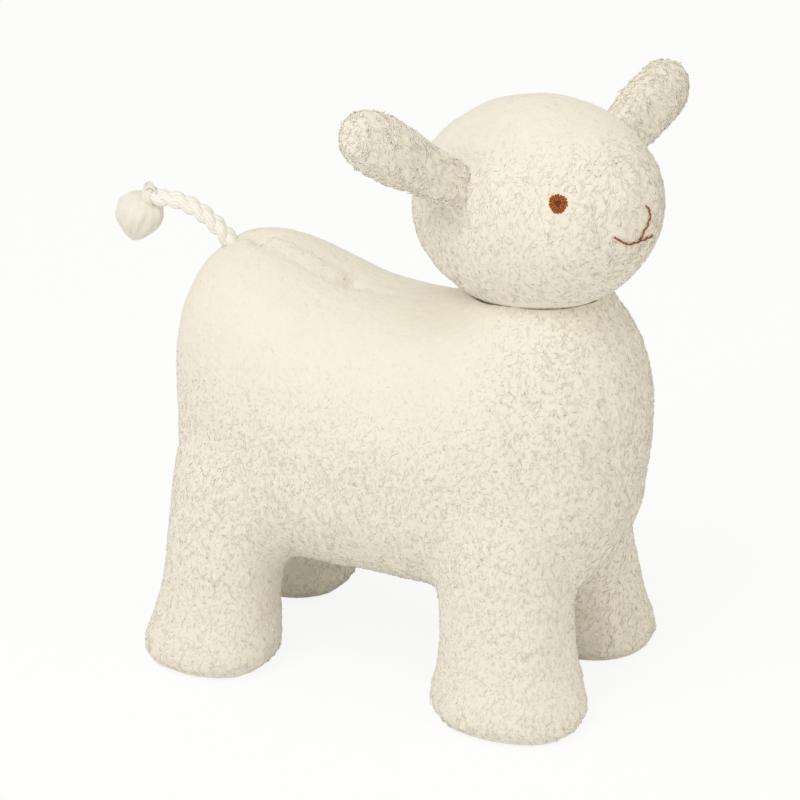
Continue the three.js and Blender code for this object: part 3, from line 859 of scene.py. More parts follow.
def lay_curls(tree, given):
    """Straight strands lying on the skin, combed downwards with some turned aside."""
    thinned = named(tree, "pile")
    grown = add_node(tree, "GeometryNodeDistributePointsOnFaces", {
        "Mesh": given["Skin"],
        "Distance Min": given["Spacing"],
        "Density Max": DENSEST,
        "Density Factor": maths(tree, "MULTIPLY", thinned, DENSITY_WEIGHT, clamp=True),
        "Seed": given["Seed"],
    }, distribute_method="POISSON").outputs
    size = maths(
        tree, "MULTIPLY",
        maths(tree, "MULTIPLY_ADD", thinned, 1 - LEAST_SIZE, LEAST_SIZE),
        at_random(tree, given, *UNEVEN_SIZES, 2),
    )
    spots = stored(tree, grown["Points"], "curl_up", grown["Normal"], "FLOAT_VECTOR")
    spots = stored(tree, spots, "curl_tone", at_random(tree, given, 0.0, 1.0, 1))
    spots = stored(tree, spots, "curl_size", size)
    combed = add_node(tree, "FunctionNodeAlignRotationToVector", {
        "Rotation": grown["Rotation"], "Vector": (0, 0, -1),
    }, axis="X", pivot_axis="Z").outputs[0]
    turn = add_node(tree, "ShaderNodeCombineXYZ", {
        "Z": at_random(tree, given, -CURL_TURN, CURL_TURN, 3),
    }).outputs[0]
    heading = add_node(tree, "FunctionNodeRotateRotation", {
        "Rotation": combed,
        "Rotate By": add_node(tree, "FunctionNodeEulerToRotation", {0: turn}).outputs[0],
    }, rotation_space="LOCAL").outputs[0]
    half = maths(tree, "MULTIPLY", given["Length"], 0.5)
    ends = [
        add_node(tree, "ShaderNodeCombineXYZ", {"X": x}).outputs[0]
        for x in (maths(tree, "MULTIPLY", half, -1.0), half)
    ]
    line = add_node(tree, "GeometryNodeCurvePrimitiveLine", {"Start": ends[0], "End": ends[1]})
    strand = add_node(tree, "GeometryNodeResampleCurve", {"Curve": line.outputs[0], "Count": 3})
    laid = add_node(tree, "GeometryNodeInstanceOnPoints", {
        "Points": spots,
        "Instance": strand.outputs[0],
        "Rotation": heading,
        "Scale": named(tree, "curl_size"),
    }).outputs[0]
    return add_node(tree, "GeometryNodeRealizeInstances", {"Geometry": laid}).outputs[0]


def curl_aside(tree, given, up):
    """How far each part of a curl bends along the cloth, a different way for every curl."""
    drift = add_node(tree, "ShaderNodeTexNoise", {
        "Vector": add_node(tree, "GeometryNodeInputPosition").outputs[0],
        "W": maths(tree, "MULTIPLY", named(tree, "curl_tone"), 90.0),
        "Scale": BEND_NOISE,
        "Detail": 0.0,
    }, noise_dimensions="4D").outputs["Color"]
    centred = vectors(tree, "SUBTRACT", drift, (0.5, 0.5, 0.5))
    reach = maths(tree, "MULTIPLY", given["Wander"], named(tree, "curl_size"))
    aside = vectors(tree, "SCALE", centred, scale=reach)
    lifted = vectors(tree, "SCALE", up, scale=vectors(tree, "DOT_PRODUCT", aside, up))
    return vectors(tree, "SUBTRACT", aside, lifted)


def curl_lift(tree, given, up, arch):
    """How far each part of a curl stands off the cloth, with its ends under it."""
    pile = named(tree, "pile")
    dipped = maths(tree, "SUBTRACT", maths(tree, "MULTIPLY", arch, 1 + END_DIP), END_DIP)
    fuller = maths(tree, "MULTIPLY_ADD", pile, 1 - LEAST_RISE, LEAST_RISE)
    rise = maths(tree, "MULTIPLY", maths(tree, "MULTIPLY", dipped, fuller), given["Rise"])
    sunk = maths(tree, "MULTIPLY", maths(tree, "SUBTRACT", DEEPEST, pile), given["Thickness"])
    clump = add_node(tree, "ShaderNodeTexNoise", {
        "Vector": add_node(tree, "GeometryNodeInputPosition").outputs[0],
        "Scale": CLUMP_NOISE,
        "Detail": 1.0,
    }).outputs[0]
    swell = maths(
        tree, "MULTIPLY",
        maths(tree, "SUBTRACT", clump, 0.5),
        maths(tree, "MULTIPLY", given["Clump"], pile),
    )
    height = maths(
        tree, "SUBTRACT", maths(tree, "ADD", rise, swell), maths(tree, "MULTIPLY", sunk, 0.5)
    )
    return vectors(tree, "SCALE", up, scale=height)


def round_curls(tree, given, curls, arch):
    """Three-sided tubes round the curls, thinner towards their ends."""
    girth = maths(tree, "MULTIPLY_ADD", arch, 1 - END_GIRTH, END_GIRTH)
    girth = maths(tree, "MULTIPLY", girth, named(tree, "curl_size"))
    radius = maths(tree, "MULTIPLY", maths(tree, "MULTIPLY", girth, 0.5), given["Thickness"])
    ring = add_node(tree, "GeometryNodeCurvePrimitiveCircle", {"Resolution": 3, "Radius": 1.0})
    tubes = add_node(tree, "GeometryNodeCurveToMesh", {
        "Curve": curls, "Profile Curve": ring.outputs[0], "Scale": radius, "Fill Caps": True,
    }).outputs[0]
    rounded = add_node(tree, "GeometryNodeSetShadeSmooth", {"Geometry": tubes}).outputs[0]
    real = add_node(tree, "GeometryNodeRealizeInstances", {"Geometry": rounded}).outputs[0]
    return add_node(tree, "GeometryNodeSetMaterial", {
        "Geometry": real, "Material": given["Material"],
    }).outputs[0]


def pile_tree():
    """Curls scattered over a mesh. Its pile attribute thins and shortens them."""
    if "curly_pile" in bpy.data.node_groups:
        return bpy.data.node_groups["curly_pile"]
    tree = bpy.data.node_groups.new("curly_pile", "GeometryNodeTree")
    for label, kind in PILE_INPUTS:
        tree.interface.new_socket(name=label, in_out="INPUT", socket_type=kind)
    tree.interface.new_socket(name="Pile", in_out="OUTPUT", socket_type="NodeSocketGeometry")
    given = tree.nodes.new("NodeGroupInput").outputs
    out = tree.nodes.new("NodeGroupOutput")
    up = named(tree, "curl_up", "FLOAT_VECTOR")
    along = add_node(tree, "GeometryNodeSplineParameter").outputs["Factor"]
    arch = maths(tree, "SINE", maths(tree, "MULTIPLY", along, math.pi))
    offset = vectors(
        tree, "ADD", curl_aside(tree, given, up), curl_lift(tree, given, up, arch)
    )
    bent = add_node(tree, "GeometryNodeSetPosition", {
        "Geometry": lay_curls(tree, given), "Offset": offset,
    }).outputs[0]
    # The arch share, stored as curl_tip, darkens the curls' ends in their material as painted shade.
    curls = round_curls(tree, given, stored(tree, bent, "curl_tip", arch), arch)
    tree.links.new(curls, out.inputs["Pile"])
    return tree


def signed_volume(mesh):
    """Positive where a closed mesh's faces point outwards."""
    mesh.calc_loop_triangles()
    points = np.empty(len(mesh.vertices) * 3)
    mesh.vertices.foreach_get("co", points)
    corners = np.empty(len(mesh.loop_triangles) * 3, int)
    mesh.loop_triangles.foreach_get("vertices", corners)
    a, b, c = points.reshape(-1, 3)[corners.reshape(-1, 3)].transpose(1, 0, 2)
    return float(np.einsum("ij,ij->i", a, np.cross(b, c)).sum())


def grow_pile(skin, name, pile_share, shift=0):
    """Curls over one open skin, as one plain mesh. pile_share thins them, from 0 to 1."""
    pile = bpy.context.scene.sheep_pile
    grown = skin.copy()
    grown.data = skin.data.copy()
    grown.name = name
    grown.data.name = name
    bpy.context.scene.collection.objects.link(grown)
    share = grown.data.attributes.new("pile", "FLOAT", "POINT")
    share.data.foreach_set("value", pile_share.astype(np.float32))
    tree = pile_tree()
    modifier = grown.modifiers.new("pile", "NODES")
    modifier.node_group = tree
    values = {
        "Spacing": pile.spacing,
        "Length": pile.curl_length,
        "Thickness": pile.curl_thickness,
        "Rise": pile.curl_rise,
        "Clump": pile.clump,
        "Wander": pile.curl_wander,
        "Seed": pile.seed + shift,
        "Material": cached("pile_curls", curl_material),
    }
    for item in tree.interface.items_tree:
        if item.in_out == "INPUT" and item.name in values:
            modifier[item.identifier] = values[item.name]
    work_in(grown)
    if signed_volume(grown.data) < 0:
        grown.data.flip_normals()
    return grown


# Body and legs

# Sections of the body from rump to chest: along, width, rise, drop
BODY_SHARES = [
    (-1, 0, 0, 0),
    (-0.985, 0.32, 0.54, 0.36),
    (-0.95, 0.49, 0.86, 0.56),
    (-0.88, 0.66, 1.12, 0.76),
    (-0.77, 0.80, 1.27, 0.90),
    (-0.62, 0.90, 1.30, 0.97),
    (-0.45, 0.96, 1.20, 1.0),
    (-0.22, 0.99, 1.07, 1.0),
    (0, 1, 1.03, 1.0),
    (0.2, 0.99, 1.08, 1.0),
    (0.42, 0.97, 1.22, 0.99),
    (0.6, 0.91, 1.31, 0.96),
    (0.76, 0.80, 1.29, 0.89),
    (0.88, 0.66, 1.11, 0.76),
    (0.95, 0.49, 0.86, 0.57),
    (0.985, 0.32, 0.55, 0.36),
    (1, 0, 0, 0),
]

# Sections of a leg from the ground to the hip: height, length, width
LEG_SHARES = [
    (0, 0.94, 0.94),
    (0.02, 0.985, 0.98),
    (0.055, 1.02, 1.015),
    (0.11, 1.02, 1.02),
    (0.2, 0.97, 0.985),
    (0.33, 0.89, 0.95),
    (0.5, 0.86, 0.96),
    (0.72, 0.855, 0.985),
]

# How square a section is, and how many points and rows the forms have
BODY_POWER = 2.4
LEG_POWER = 2.3
AROUND = 72
DOME_ROWS = 6
LEAST_WIDTH = 1e-6

# Heights above the ground where a sole and a leg's cover end, and where a leg stops bending
SOLE_HEIGHT = 3 * MM
LEG_SPLIT = 42 * MM
BLEND_END = 8 * MM

CLOTH = 1.1 * MM
RIM_ANGLE = math.radians(50)

# How far under the pile's inset each cloth lies
BODY_SUNK = 0.1 * MM
HEAD_SUNK = 0.3 * MM
EAR_SUNK = 0.2 * MM

# Grain of the remeshed cloth, and how often it is smoothed
BODY_GRAIN = 4 * MM
BODY_ROUNDS = 9
HEAD_ROUNDS = 4
EAR_GRAIN = 3 * MM
EAR_ROUNDS = 3


def body_form(body, inset):
    """The body's own closed form, set in from its full size."""
    half = body.length / 2 - inset
    rings = []
    for along, width, rise, drop in smooth_rows(BODY_SHARES, 3, True, True):
        middle = body_middle + Vector((along * half, 0, body.axis_height))
        if width < LEAST_WIDTH:
            rings.append([middle])
            continue
        rings.append(section(
            middle,
            (0, (body.width / 2 - inset) * width, 0),
            (body.top_lean * along * abs(along), 0, (body.back_rise - inset) * rise),
            (body.chest_tuck * max(0, along) ** 2, 0, (body.belly_drop - inset) * drop),
            BODY_POWER,
            AROUND,
        ))
    return loft(rings)


def foot_of(leg):
    """The middle of a leg's sole, on the ground."""
    low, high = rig.box(leg.replace("leg", "sole"))
    return Vector(((low.x + high.x) / 2, (low.y + high.y) / 2, 0))


def leg_form(body, leg, inset):
    """One leg: a flat foot, a narrower shin and a dome about the hip."""
    foot = foot_of(leg)
    hip = pivot(f"{leg}_flex")
    length = body.front_foot if "front" in leg else body.rear_foot
    rings = [[foot]]
    for height, long, wide in smooth_rows(LEG_SHARES, 3):
        side = (0, body.foot_width / 2 * wide - inset, 0)
        ahead = (length / 2 * long - inset, 0, 0)
        rings.append(section(foot.lerp(hip, height), ahead, side, side, LEG_POWER, AROUND))
    radius = body.hip_radius - inset
    for row in range(DOME_ROWS):
        turn = row / DOME_ROWS * math.pi / 2
        wide = radius * math.cos(turn)
        middle = hip + Vector((0, 0, radius * math.sin(turn)))
        rings.append(section(middle, (wide, 0, 0), (0, wide, 0), (0, wide, 0), 2, AROUND))
    rings.append([hip + Vector((0, 0, radius))])
    return loft(rings)


def gusset_edge(body, ahead):
    """Height of the gusset's slanting end line at a place along the body."""
    share = (ahead - body_low.x) / (body_high.x - body_low.x)
    return body.gusset_rear + (body.gusset_front - body.gusset_rear) * share


def seam_distance(body, points):
    """Distance from each point to the nearest seam of the body's cover."""
    x, y, z = points.T
    aside = np.abs(y - middle_left)
    edge = gusset_edge(body, x)
    above = np.maximum(0, z - edge)
    to_sides = np.hypot(aside - body.gusset_width / 2, above)
    to_slant = np.hypot(z - edge, np.maximum(0, aside - body.gusset_width / 2))
    to_back = np.hypot(aside, np.maximum(0, edge - z))
    return np.minimum(np.minimum(to_sides, to_slant), to_back)


def head_place(head):
    """The head's own frame: X towards the nose, Y to its left, Z to its crown."""
    up = axis("head_turn")
    left = axis("head_nod")
    ahead = left.cross(up)
    lift = head.height / 2 + head.neck_reach - head.neck_radius
    turned = Matrix((ahead, left, up)).transposed().to_4x4()
    return Matrix.Translation(pivot("head_turn") + up * lift) @ turned


def through(matrix, points):
    """Points moved by a 4 x 4 matrix."""
    turned = np.array(matrix)
    return points @ turned[:3, :3].T + turned[:3, 3]


# Past this share of its turn the head presses into the cloth of the shoulders
FREE_TURN = 0.6
# The deepest point that is pushed straight out, as a share of the way from the head's middle
LEAST_BOWL = 0.2


def bowl_share(head, own):
    """Below 1 inside the room that the head sweeps as it turns, in the head's own frame."""
    turned = math.radians(max(joints["head_turn"]["range_deg"])) * FREE_TURN
    long = head.length / 2 + head.bowl_relief
    wide = head.width / 2 + head.bowl_relief
    deep = head.height / 2 + head.bowl_relief
    nearest = np.maximum(0, np.arctan2(np.abs(own[:, 1]), np.abs(own[:, 0])) - turned)
    reach = 1 / np.hypot(np.cos(nearest) / long, np.sin(nearest) / wide)
    return np.hypot(np.hypot(own[:, 0], own[:, 1]) / reach, own[:, 2] / deep)


def clear_bowl(head, points):
    """Pushes the shoulders out of the hollow that the head turns in."""
    place = head_place(head)
    own = through(place.inverted(), points)
    share = bowl_share(head, own)
    inside = (share < 1) & (own[:, 2] < 0)
    own[inside] /= np.maximum(share[inside], LEAST_BOWL)[:, None]
    return through(place, own)


# How high the shoulders swell about the head, and how far out as a share of the head's size
COLLAR_RISE = 3 * MM
COLLAR_REACH = 0.16

# The closing seam on the back, from the rump forward, and the gathered cloth beside it
CLOSING_START = -65 * MM
CLOSING_END = -21 * MM
CLOSING_FADE = 4 * MM
CLOSING_HEIGHTS = (130 * MM, 150 * MM)
GATHER_STEP = 1.7 * MM
RIDGE, RIDGE_WIDTH = 0.9 * MM, 2.4 * MM
VALLEY, VALLEY_ASIDE, VALLEY_WIDTH = 1.1 * MM, 6 * MM, 3.6 * MM
KNOT_DIMPLE, KNOT_ASIDE, KNOT_WIDTH, KNOT_SHARE = 4.2 * MM, 1 * MM, 3.8 * MM, 0.8
CREASE, CREASE_ASIDE, CREASE_WIDTH = 0.9 * MM, 2 * MM, 1.6 * MM
CREASE_BEHIND, CREASE_LENGTH = 8 * MM, 9 * MM


def closing_pucker(points):
    """How far the hand-sewn seam lifts and sinks the cloth of the back."""
    x, y, z = (points - np.array(feet_middle)).T
    on_back = smoothstep(*CLOSING_HEIGHTS, z)
    within = smoothstep(CLOSING_START - CLOSING_FADE, CLOSING_START + CLOSING_FADE, x)
    within *= smoothstep(CLOSING_END + CLOSING_FADE, CLOSING_END - CLOSING_FADE, x)
    ridge = RIDGE * bell(y, RIDGE_WIDTH) * (0.75 + 0.25 * np.sin(x / GATHER_STEP))
    valleys = VALLEY * (bell(y - VALLEY_ASIDE, VALLEY_WIDTH) + bell(y + VALLEY_ASIDE, VALLEY_WIDTH))
    ends = sum(
        KNOT_DIMPLE * bell(np.hypot(x - end, (y + KNOT_ASIDE) * KNOT_SHARE), KNOT_WIDTH)
        for end in (CLOSING_START, CLOSING_END)
    )
    crease = CREASE * bell(y + CREASE_ASIDE, CREASE_WIDTH) * bell(x + CREASE_BEHIND, CREASE_LENGTH)
    return on_back * ((ridge - valleys) * within - ends - crease)


# Relief of the body's cloth: how deep or high, and how wide
GROOVE, GROOVE_WIDTH = 0.9 * MM, 1.7 * MM
SEAM_CROWN, SEAM_CROWN_WIDTH = 0.33 * MM, 7 * MM
BODY_LUMP, BODY_LUMP_WIDTH = 0.9 * MM, 26 * MM
BODY_DENT, BODY_DENT_WIDTH = 0.35 * MM, 9 * MM
SOLE_GROOVE, SOLE_GROOVE_WIDTH = 0.7 * MM, 1.3 * MM
TAIL_DIMPLE, TAIL_DIMPLE_WIDTH = 2.2 * MM, 7 * MM
ABOVE_FEET = (2 * MM, 14 * MM)
SEAM_FADE = 20 * MM


def shape_body(body, head, made):
    """Seam grooves, lumps of filling, the closing seam's pucker and the flat of the feet."""
    points = points_of(made)
    out = normals_of(made)
    height = points[:, 2]
    away = seam_distance(body, points)
    back = smoothstep(body.gusset_front, body.gusset_front - SEAM_FADE, height)
    seams = SEAM_CROWN * bell(away, SEAM_CROWN_WIDTH) - GROOVE * bell(away, GROOVE_WIDTH)
    seams *= 0.35 + 0.65 * back
    lumps = BODY_LUMP * roughen(points, BODY_LUMP_WIDTH)
    lumps += BODY_DENT * roughen(points, BODY_DENT_WIDTH, 5)
    tail = np.linalg.norm(points - np.array(placed_tail_points()[1]), axis=1)
    beyond = bowl_share(head, through(head_place(head).inverted(), points)) - 1
    rise = (seams + lumps) * smoothstep(*ABOVE_FEET, height)
    rise -= SOLE_GROOVE * bell(height - SOLE_HEIGHT, SOLE_GROOVE_WIDTH)
    rise -= TAIL_DIMPLE * bell(tail, TAIL_DIMPLE_WIDTH)
    rise += closing_pucker(points)
    rise += COLLAR_RISE * bell(np.maximum(0, beyond), COLLAR_REACH)
    points = clear_bowl(head, points + out * rise[:, None])
    points[:, 2] = np.maximum(points[:, 2], 0)
    place_points(made, points)


def cut(work, point, normal):
    bmesh.ops.bisect_plane(
        work,
        geom=[*work.verts, *work.edges, *work.faces],
        plane_co=point,
        plane_no=normal,
        dist=0.001 * MM,
    )


def split_panels(made, planes, panel_of):
    """Cuts a skin along planes and sorts its faces into panels by their middles."""
    work = bmesh.new()
    work.from_mesh(made.data)
    for point, normal in planes:
        cut(work, point, normal)
    work.verts.index_update()
    points = np.array([vert.co for vert in work.verts])
    panels = {}
    for face in work.faces:
        corners = [vert.index for vert in face.verts]
        panels.setdefault(panel_of(face.calc_center_median()), []).append(corners)
    work.free()
    split = {}
    for name, faces in panels.items():
        used = np.unique(np.concatenate([np.array(face) for face in faces]))
        order = {old: new for new, old in enumerate(used)}
        split[name] = (points[used], [[order[i] for i in face] for face in faces])
    return split


def thicken(made):
    """Gives an open skin the thickness of its cloth, inwards, with a crisp rim."""
    modify(made, "SOLIDIFY", thickness=CLOTH, offset=-1, use_even_offset=False)
    work_in(made)
    made.data.set_sharp_from_angle(angle=RIM_ANGLE)


def skin_with_pile(name, points, faces, share=None, shift=0):
    """A panel of cloth, and the curls over it where their share is given."""
    skin = open_skin(f"{name}_cloth", points, faces, cached("pile_cloth", cloth_material))
    made = [skin]
    if share is not None:
        made.append(grow_pile(skin, f"{name}_pile", share, shift))
    thicken(skin)
    return made


# How full the curls stand on the back, and how much more or less elsewhere
BACK_CURLS = 0.4
FLANK_CURLS = 0.55
SHIN_CURLS = -0.1

# Where that changes: heights of the flank and the shin, and places ahead of the middle
FLANK_HEIGHTS = (168 * MM, 105 * MM)
SHIN_HEIGHTS = (75 * MM, 45 * MM)
CHEST_AHEAD = (25 * MM, 75 * MM)
SOLE_EDGE = (1.6 * MM, 3.2 * MM)

# The pile thins to half along a seam, and stops at the bowl's edge
SEAM_THINNING = 0.5
SEAM_PARTING = 1.1 * MM
BOWL_EDGE = (1.002, 1.02)


def body_curliness(points):
    """Curls stand fuller on the chest and the belly than on the back, and lower on the feet."""
    low = smoothstep(*FLANK_HEIGHTS, points[:, 2])
    chest = smoothstep(*CHEST_AHEAD, points[:, 0] - body_middle.x)
    shin = smoothstep(*SHIN_HEIGHTS, points[:, 2])
    return BACK_CURLS + FLANK_CURLS * (1 - (1 - low) * (1 - chest)) + SHIN_CURLS * shin


def body_pile_share(body, head, points):
    """Where the body's pile grows: thin along seams, none in the neck's bowl or under a foot."""
    share = body_curliness(points)
    share *= 1 - SEAM_THINNING * bell(seam_distance(body, points), SEAM_PARTING)
    own = through(head_place(head).inverted(), points)
    share *= np.where(own[:, 2] < 0, smoothstep(*BOWL_EDGE, bowl_share(head, own)), 1)
    share *= smoothstep(*SOLE_EDGE, points[:, 2])
    return share


# Cloth this near a seam or the ground is held while the filling swells the rest
HELD_BESIDE_SEAM = 2.5 * MM
HELD_SHARE = 0.4
HELD_ABOVE_GROUND = 5 * MM
SIDEWAYS = Vector((0, 1, 0))
UPWARD = Vector((0, 0, 1))


def panel_planes(body):
    """Where the body's skin is cut: the middle, the strip's sides and slant, legs and soles."""
    half = body.gusset_width / 2
    slant = math.atan2(body.gusset_front - body.gusset_rear, body_high.x - body_low.x)
    planes = [(Vector((0, middle_left + aside, 0)), SIDEWAYS) for aside in (0, half, -half)]
    planes.append((
        Vector((body_low.x, 0, body.gusset_rear)), Vector((-math.sin(slant), 0, math.cos(slant)))
    ))
    return planes + [(UPWARD * height, UPWARD) for height in (LEG_SPLIT, SOLE_HEIGHT)]


def body_panel(body, place):
    """The panel that a place on the body's skin belongs to."""
    side = "left" if place.y > middle_left else "right"
    end = "front" if place.x > body_middle.x else "rear"
    if place.z < SOLE_HEIGHT:
        return f"sole_{end}_{side}"
    if place.z < LEG_SPLIT:
        return f"leg_{end}_{side}_cover"
    in_strip = abs(place.y - middle_left) < body.gusset_width / 2
    if in_strip and place.z < gusset_edge(body, place.x):
        return "belly_gusset"
    return f"side_panel_{side}"


def dress_leg(made, leg):
    """Bends a leg's cover from the trunk's motion at its top to the leg's near the ground."""
    foot, hip = foot_of(leg), pivot(f"{leg}_flex")
    start = foot.lerp(hip, LEG_SPLIT / hip.z)
    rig.blend(made, "trunk", leg, start, foot.lerp(hip, BLEND_END / hip.z))


def dress_body(body, head):
    inset = bpy.context.scene.sheep_pile.inset - BODY_SUNK
    forms = [body_form(body, inset)] + [leg_form(body, leg, inset) for leg in LEGS]
    made = piece("body_skin", *join_forms(forms))

    def held(points):
        seam = bell(seam_distance(body, points), HELD_BESIDE_SEAM) > HELD_SHARE
        return np.where(seam | (points[:, 2] < HELD_ABOVE_GROUND), 1.0, 0.0)

    stuff(made, BODY_GRAIN, BODY_ROUNDS, held, body.swell)
    shape_body(body, head, made)
    panels = split_panels(made, panel_planes(body), lambda place: body_panel(body, place))
    bpy.data.objects.remove(made)
    for number, (name, (points, faces)) in enumerate(sorted(panels.items())):
        if name.startswith("sole"):
            skin, = skin_with_pile(name, points, faces)
            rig.slot(skin, "pile")
            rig.ride(skin, name.replace("sole", "leg"))
            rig.replaces(skin, name)
            continue
        share = body_pile_share(body, head, points)
        skin, pile = skin_with_pile(name, points, faces, share, number)
        stands_for = [name]
        for made in (skin, pile):
            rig.slot(made, "pile")
            if name.startswith("leg"):
                dress_leg(made, name.replace("_cover", ""))
            else:
                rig.ride(made, "trunk")
        if name.startswith("leg"):
            stands_for.append(name.replace("_cover", "_filling"))
        elif name == "side_panel_left":
            stands_for.append("body_filling")
        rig.replaces(skin, *stands_for)
        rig.padded(skin, 0.9)


# Tubes and threads

def carried_frames(line):
    """Directions across a line of points, turned as little as possible along it."""
    line = np.asarray(line, float)
    ahead = np.gradient(line, axis=0)
    ahead /= np.linalg.norm(ahead, axis=1, keepdims=True)
    first = np.cross(ahead[0], (0, 0, 1.0))
    if np.linalg.norm(first) < 0.1:
        first = np.cross(ahead[0], (0, 1.0, 0))
    across = [first / np.linalg.norm(first)]
    for direction in ahead[1:]:
        side = across[-1] - direction * np.dot(across[-1], direction)
        across.append(side / np.linalg.norm(side))
    across = np.array(across)
    return across, np.cross(ahead, across)


def flat_ring(place, radius, height, around):
    """A ring about the upward axis of a frame of its own."""
    turn = np.arange(around) / around * 2 * math.pi
    own = [radius * np.cos(turn), radius * np.sin(turn), np.full(around, height)]
    return through(place, np.array(own).T)


def round_tube(line, radii, sides):
    """Points and faces of a closed tube along a line, with a radius at each point."""
    across, up = carried_frames(line)
    turn = np.arange(sides) / sides * 2 * math.pi
    rings = [[line[0]]]
    for point, radius, side, rise in zip(line, radii, across, up):
        ring = point + radius * (
            np.cos(turn)[:, None] * side[None] + np.sin(turn)[:, None] * rise[None]
        )
        rings.append(ring)
    rings.append([line[-1]])
    return loft(rings)


def strand_uv(made, rings, sides, step):
    """Writes each tube's UV map: U in metres along it and V once round it."""
    uv = made.data.uv_layers.new(name="strand")
    per_tube = rings * sides + 2
    for loop in made.data.loops:
        index = loop.vertex_index % per_tube
        ring, around = divmod(max(0, min(index - 1, rings * sides - 1)), sides)
        uv.data[loop.index].uv = (ring * step, around / sides)


def smooth_line(points, spacing):
    """A smooth line through given points, with even steps."""
    dense = smooth_rows(points, 24)
    steps = np.linalg.norm(np.diff(dense, axis=0), axis=1)
    run = np.concatenate([[0], np.cumsum(steps)])
    places = np.linspace(0, run[-1], max(3, round(run[-1] / spacing) + 1))
    return np.array([np.interp(places, run, dense[:, i]) for i in range(3)]).T


# Tail

# The cord's middle line from inside the rump to the whipping, about the toy's own middle
TAIL_POINTS = [
    (-0.0766, 0, 0.1762),
    (-0.0789, 0, 0.1786),
    (-0.0832, 0, 0.1832),
    (-0.0879, 0, 0.1872),
    (-0.0936, 0, 0.1908),
    (-0.0992, 0, 0.1931),
    (-0.1042, 0, 0.1942),
    (-0.1090, 0, 0.1944),
    (-0.1154, 0, 0.1938),
]
STRANDS = 3
STRAND_SIDES = 14
LINE_STEP = 0.6 * MM

# A strand's radius and how far it swings aside and up and down, as shares of the cord
STRAND_SHARE = 0.285
ASIDE_SHARE = 0.235
DEPTH_SHARE = 0.15


def placed_tail_points():
    return [feet_middle + Vector(point) for point in TAIL_POINTS]


def cord_line(tail):
    """The cord's middle line, which ends inside the whipping."""
    points = placed_tail_points()
    onward = (points[-1] - points[-2]).normalized()
    return smooth_line([*points, points[-1] + onward * tail.whipping_length], LINE_STEP)


def dress_tail_cord(tail):
    """Three strands that cross each other as in a flat braid."""
    line = cord_line(tail)
    across, up = carried_frames(line)
    run = np.arange(len(line)) * np.linalg.norm(line[1] - line[0])
    radii = [tail.diameter * STRAND_SHARE] * len(line)
    wide = tail.diameter * ASIDE_SHARE
    deep = tail.diameter * DEPTH_SHARE
    forms = []
    for strand in range(STRANDS):
        phase = 2 * math.pi * (run / tail.braid_pitch + strand / STRANDS)
        middle = line + across * (wide * np.sin(phase))[:, None]
        middle = middle + up * (deep * np.sin(2 * phase))[:, None]
        forms.append(round_tube(middle, radii, STRAND_SIDES))
    cord = piece("tail_braid", *join_forms(forms), cached("cord_yarn", cord_material))
    strand_uv(cord, len(line), STRAND_SIDES, float(run[1]))
    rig.slot(cord, "cord")
    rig.ride(cord, "tail")
    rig.replaces(cord, "tail_cord")
    return cord, line


# One loop of loose yarn over the whipping, in cord diameters: along, rise, spread
LOOP_SHARES = [
    (0, 0.3, 0.8),
    (0.05, 0.58, 0.9),
    (0.28, 0.74, 1),
    (0.52, 0.62, 1.05),
    (0.68, 0.3, 1.1),
    (0.72, -0.05, 1.1),
]
LOOPS = 3
LOOP_STEP = 1.3 * MM
LOOP_SPREAD = 0.6
LOOP_YARN = 0.42 * MM

# The wound yarn: its turns, radius and start, and its winding's radius as a share of the cord
WINDS = 5
WIND_STEPS = 20
WOUND_YARN = 0.55 * MM
WOUND_START = 0.3 * MM
WOUND_SHARE = 0.53
CORE_START = 0.2 * MM
CORE_RINGS = 8


def dress_whipping(tail, line):
    """Wound yarn at the cord's end, with loose loops over it."""
    ahead = (line[-1] - line[-2]) / np.linalg.norm(line[-1] - line[-2])
    start = Vector(line[-1] - ahead * tail.whipping_length)
    side, up = (Vector(directions[-1]) for directions in carried_frames(line))
    ahead = Vector(ahead)
    winding = []
    for step in range(WINDS * WIND_STEPS + 1):
        turn = step / WIND_STEPS * 2 * math.pi
        along = WOUND_START + tail.whipping_length * step / (WINDS * WIND_STEPS)
        out = math.cos(turn) * side + math.sin(turn) * up
        winding.append(start + ahead * along + out * (tail.diameter * WOUND_SHARE))
    forms = [round_tube(np.array(winding), [WOUND_YARN] * len(winding), 6)]
    core = [
        start + ahead * (CORE_START + tail.whipping_length * ring / (CORE_RINGS - 1))
        for ring in range(CORE_RINGS)
    ]
    forms.append(round_tube(np.array(core), [tail.diameter / 2] * CORE_RINGS, 20))
    above = UPWARD - ahead * ahead.z
    for number in range(LOOPS):
        aside = (number / (LOOPS - 1) - 0.5) * tail.diameter * LOOP_SPREAD
        arch = [
            start + ahead * (along * tail.diameter + (number - 1) * LOOP_STEP)
            + above * (rise * tail.diameter)
            + side * (aside * spread)
            for along, rise, spread in LOOP_SHARES
        ]
        loop = smooth_line(arch, LINE_STEP)
        forms.append(round_tube(loop, [LOOP_YARN] * len(loop), 8))
    made = piece("tail_wound_yarn", *join_forms(forms), cached("tuft_fluff", fluff_material))
    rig.slot(made, "cord")
    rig.ride(made, "tail")
    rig.replaces(made, "tail_whipping")
    return made


# Outline of the tuft from the whipping to its tip: along, width
TUFT_SHARES = [
    (0, 0.34),
    (0.08, 0.70),
    (0.22, 0.96),
    (0.4, 1.0),
    (0.58, 0.88),
    (0.75, 0.66),
    (0.9, 0.38),
    (1, 0.10),
]
TIP_SHARE = 1.005
TUFT_AHEAD = 1.5 * MM
TUFT_AROUND = 72
TUFT_SEED = 3
FIBRES = 500
FIBRE_STEPS = 5
FIBRE_SIDES = 5
FIBRE_ROOT, FIBRE_TIP = 0.15 * MM, 0.07 * MM

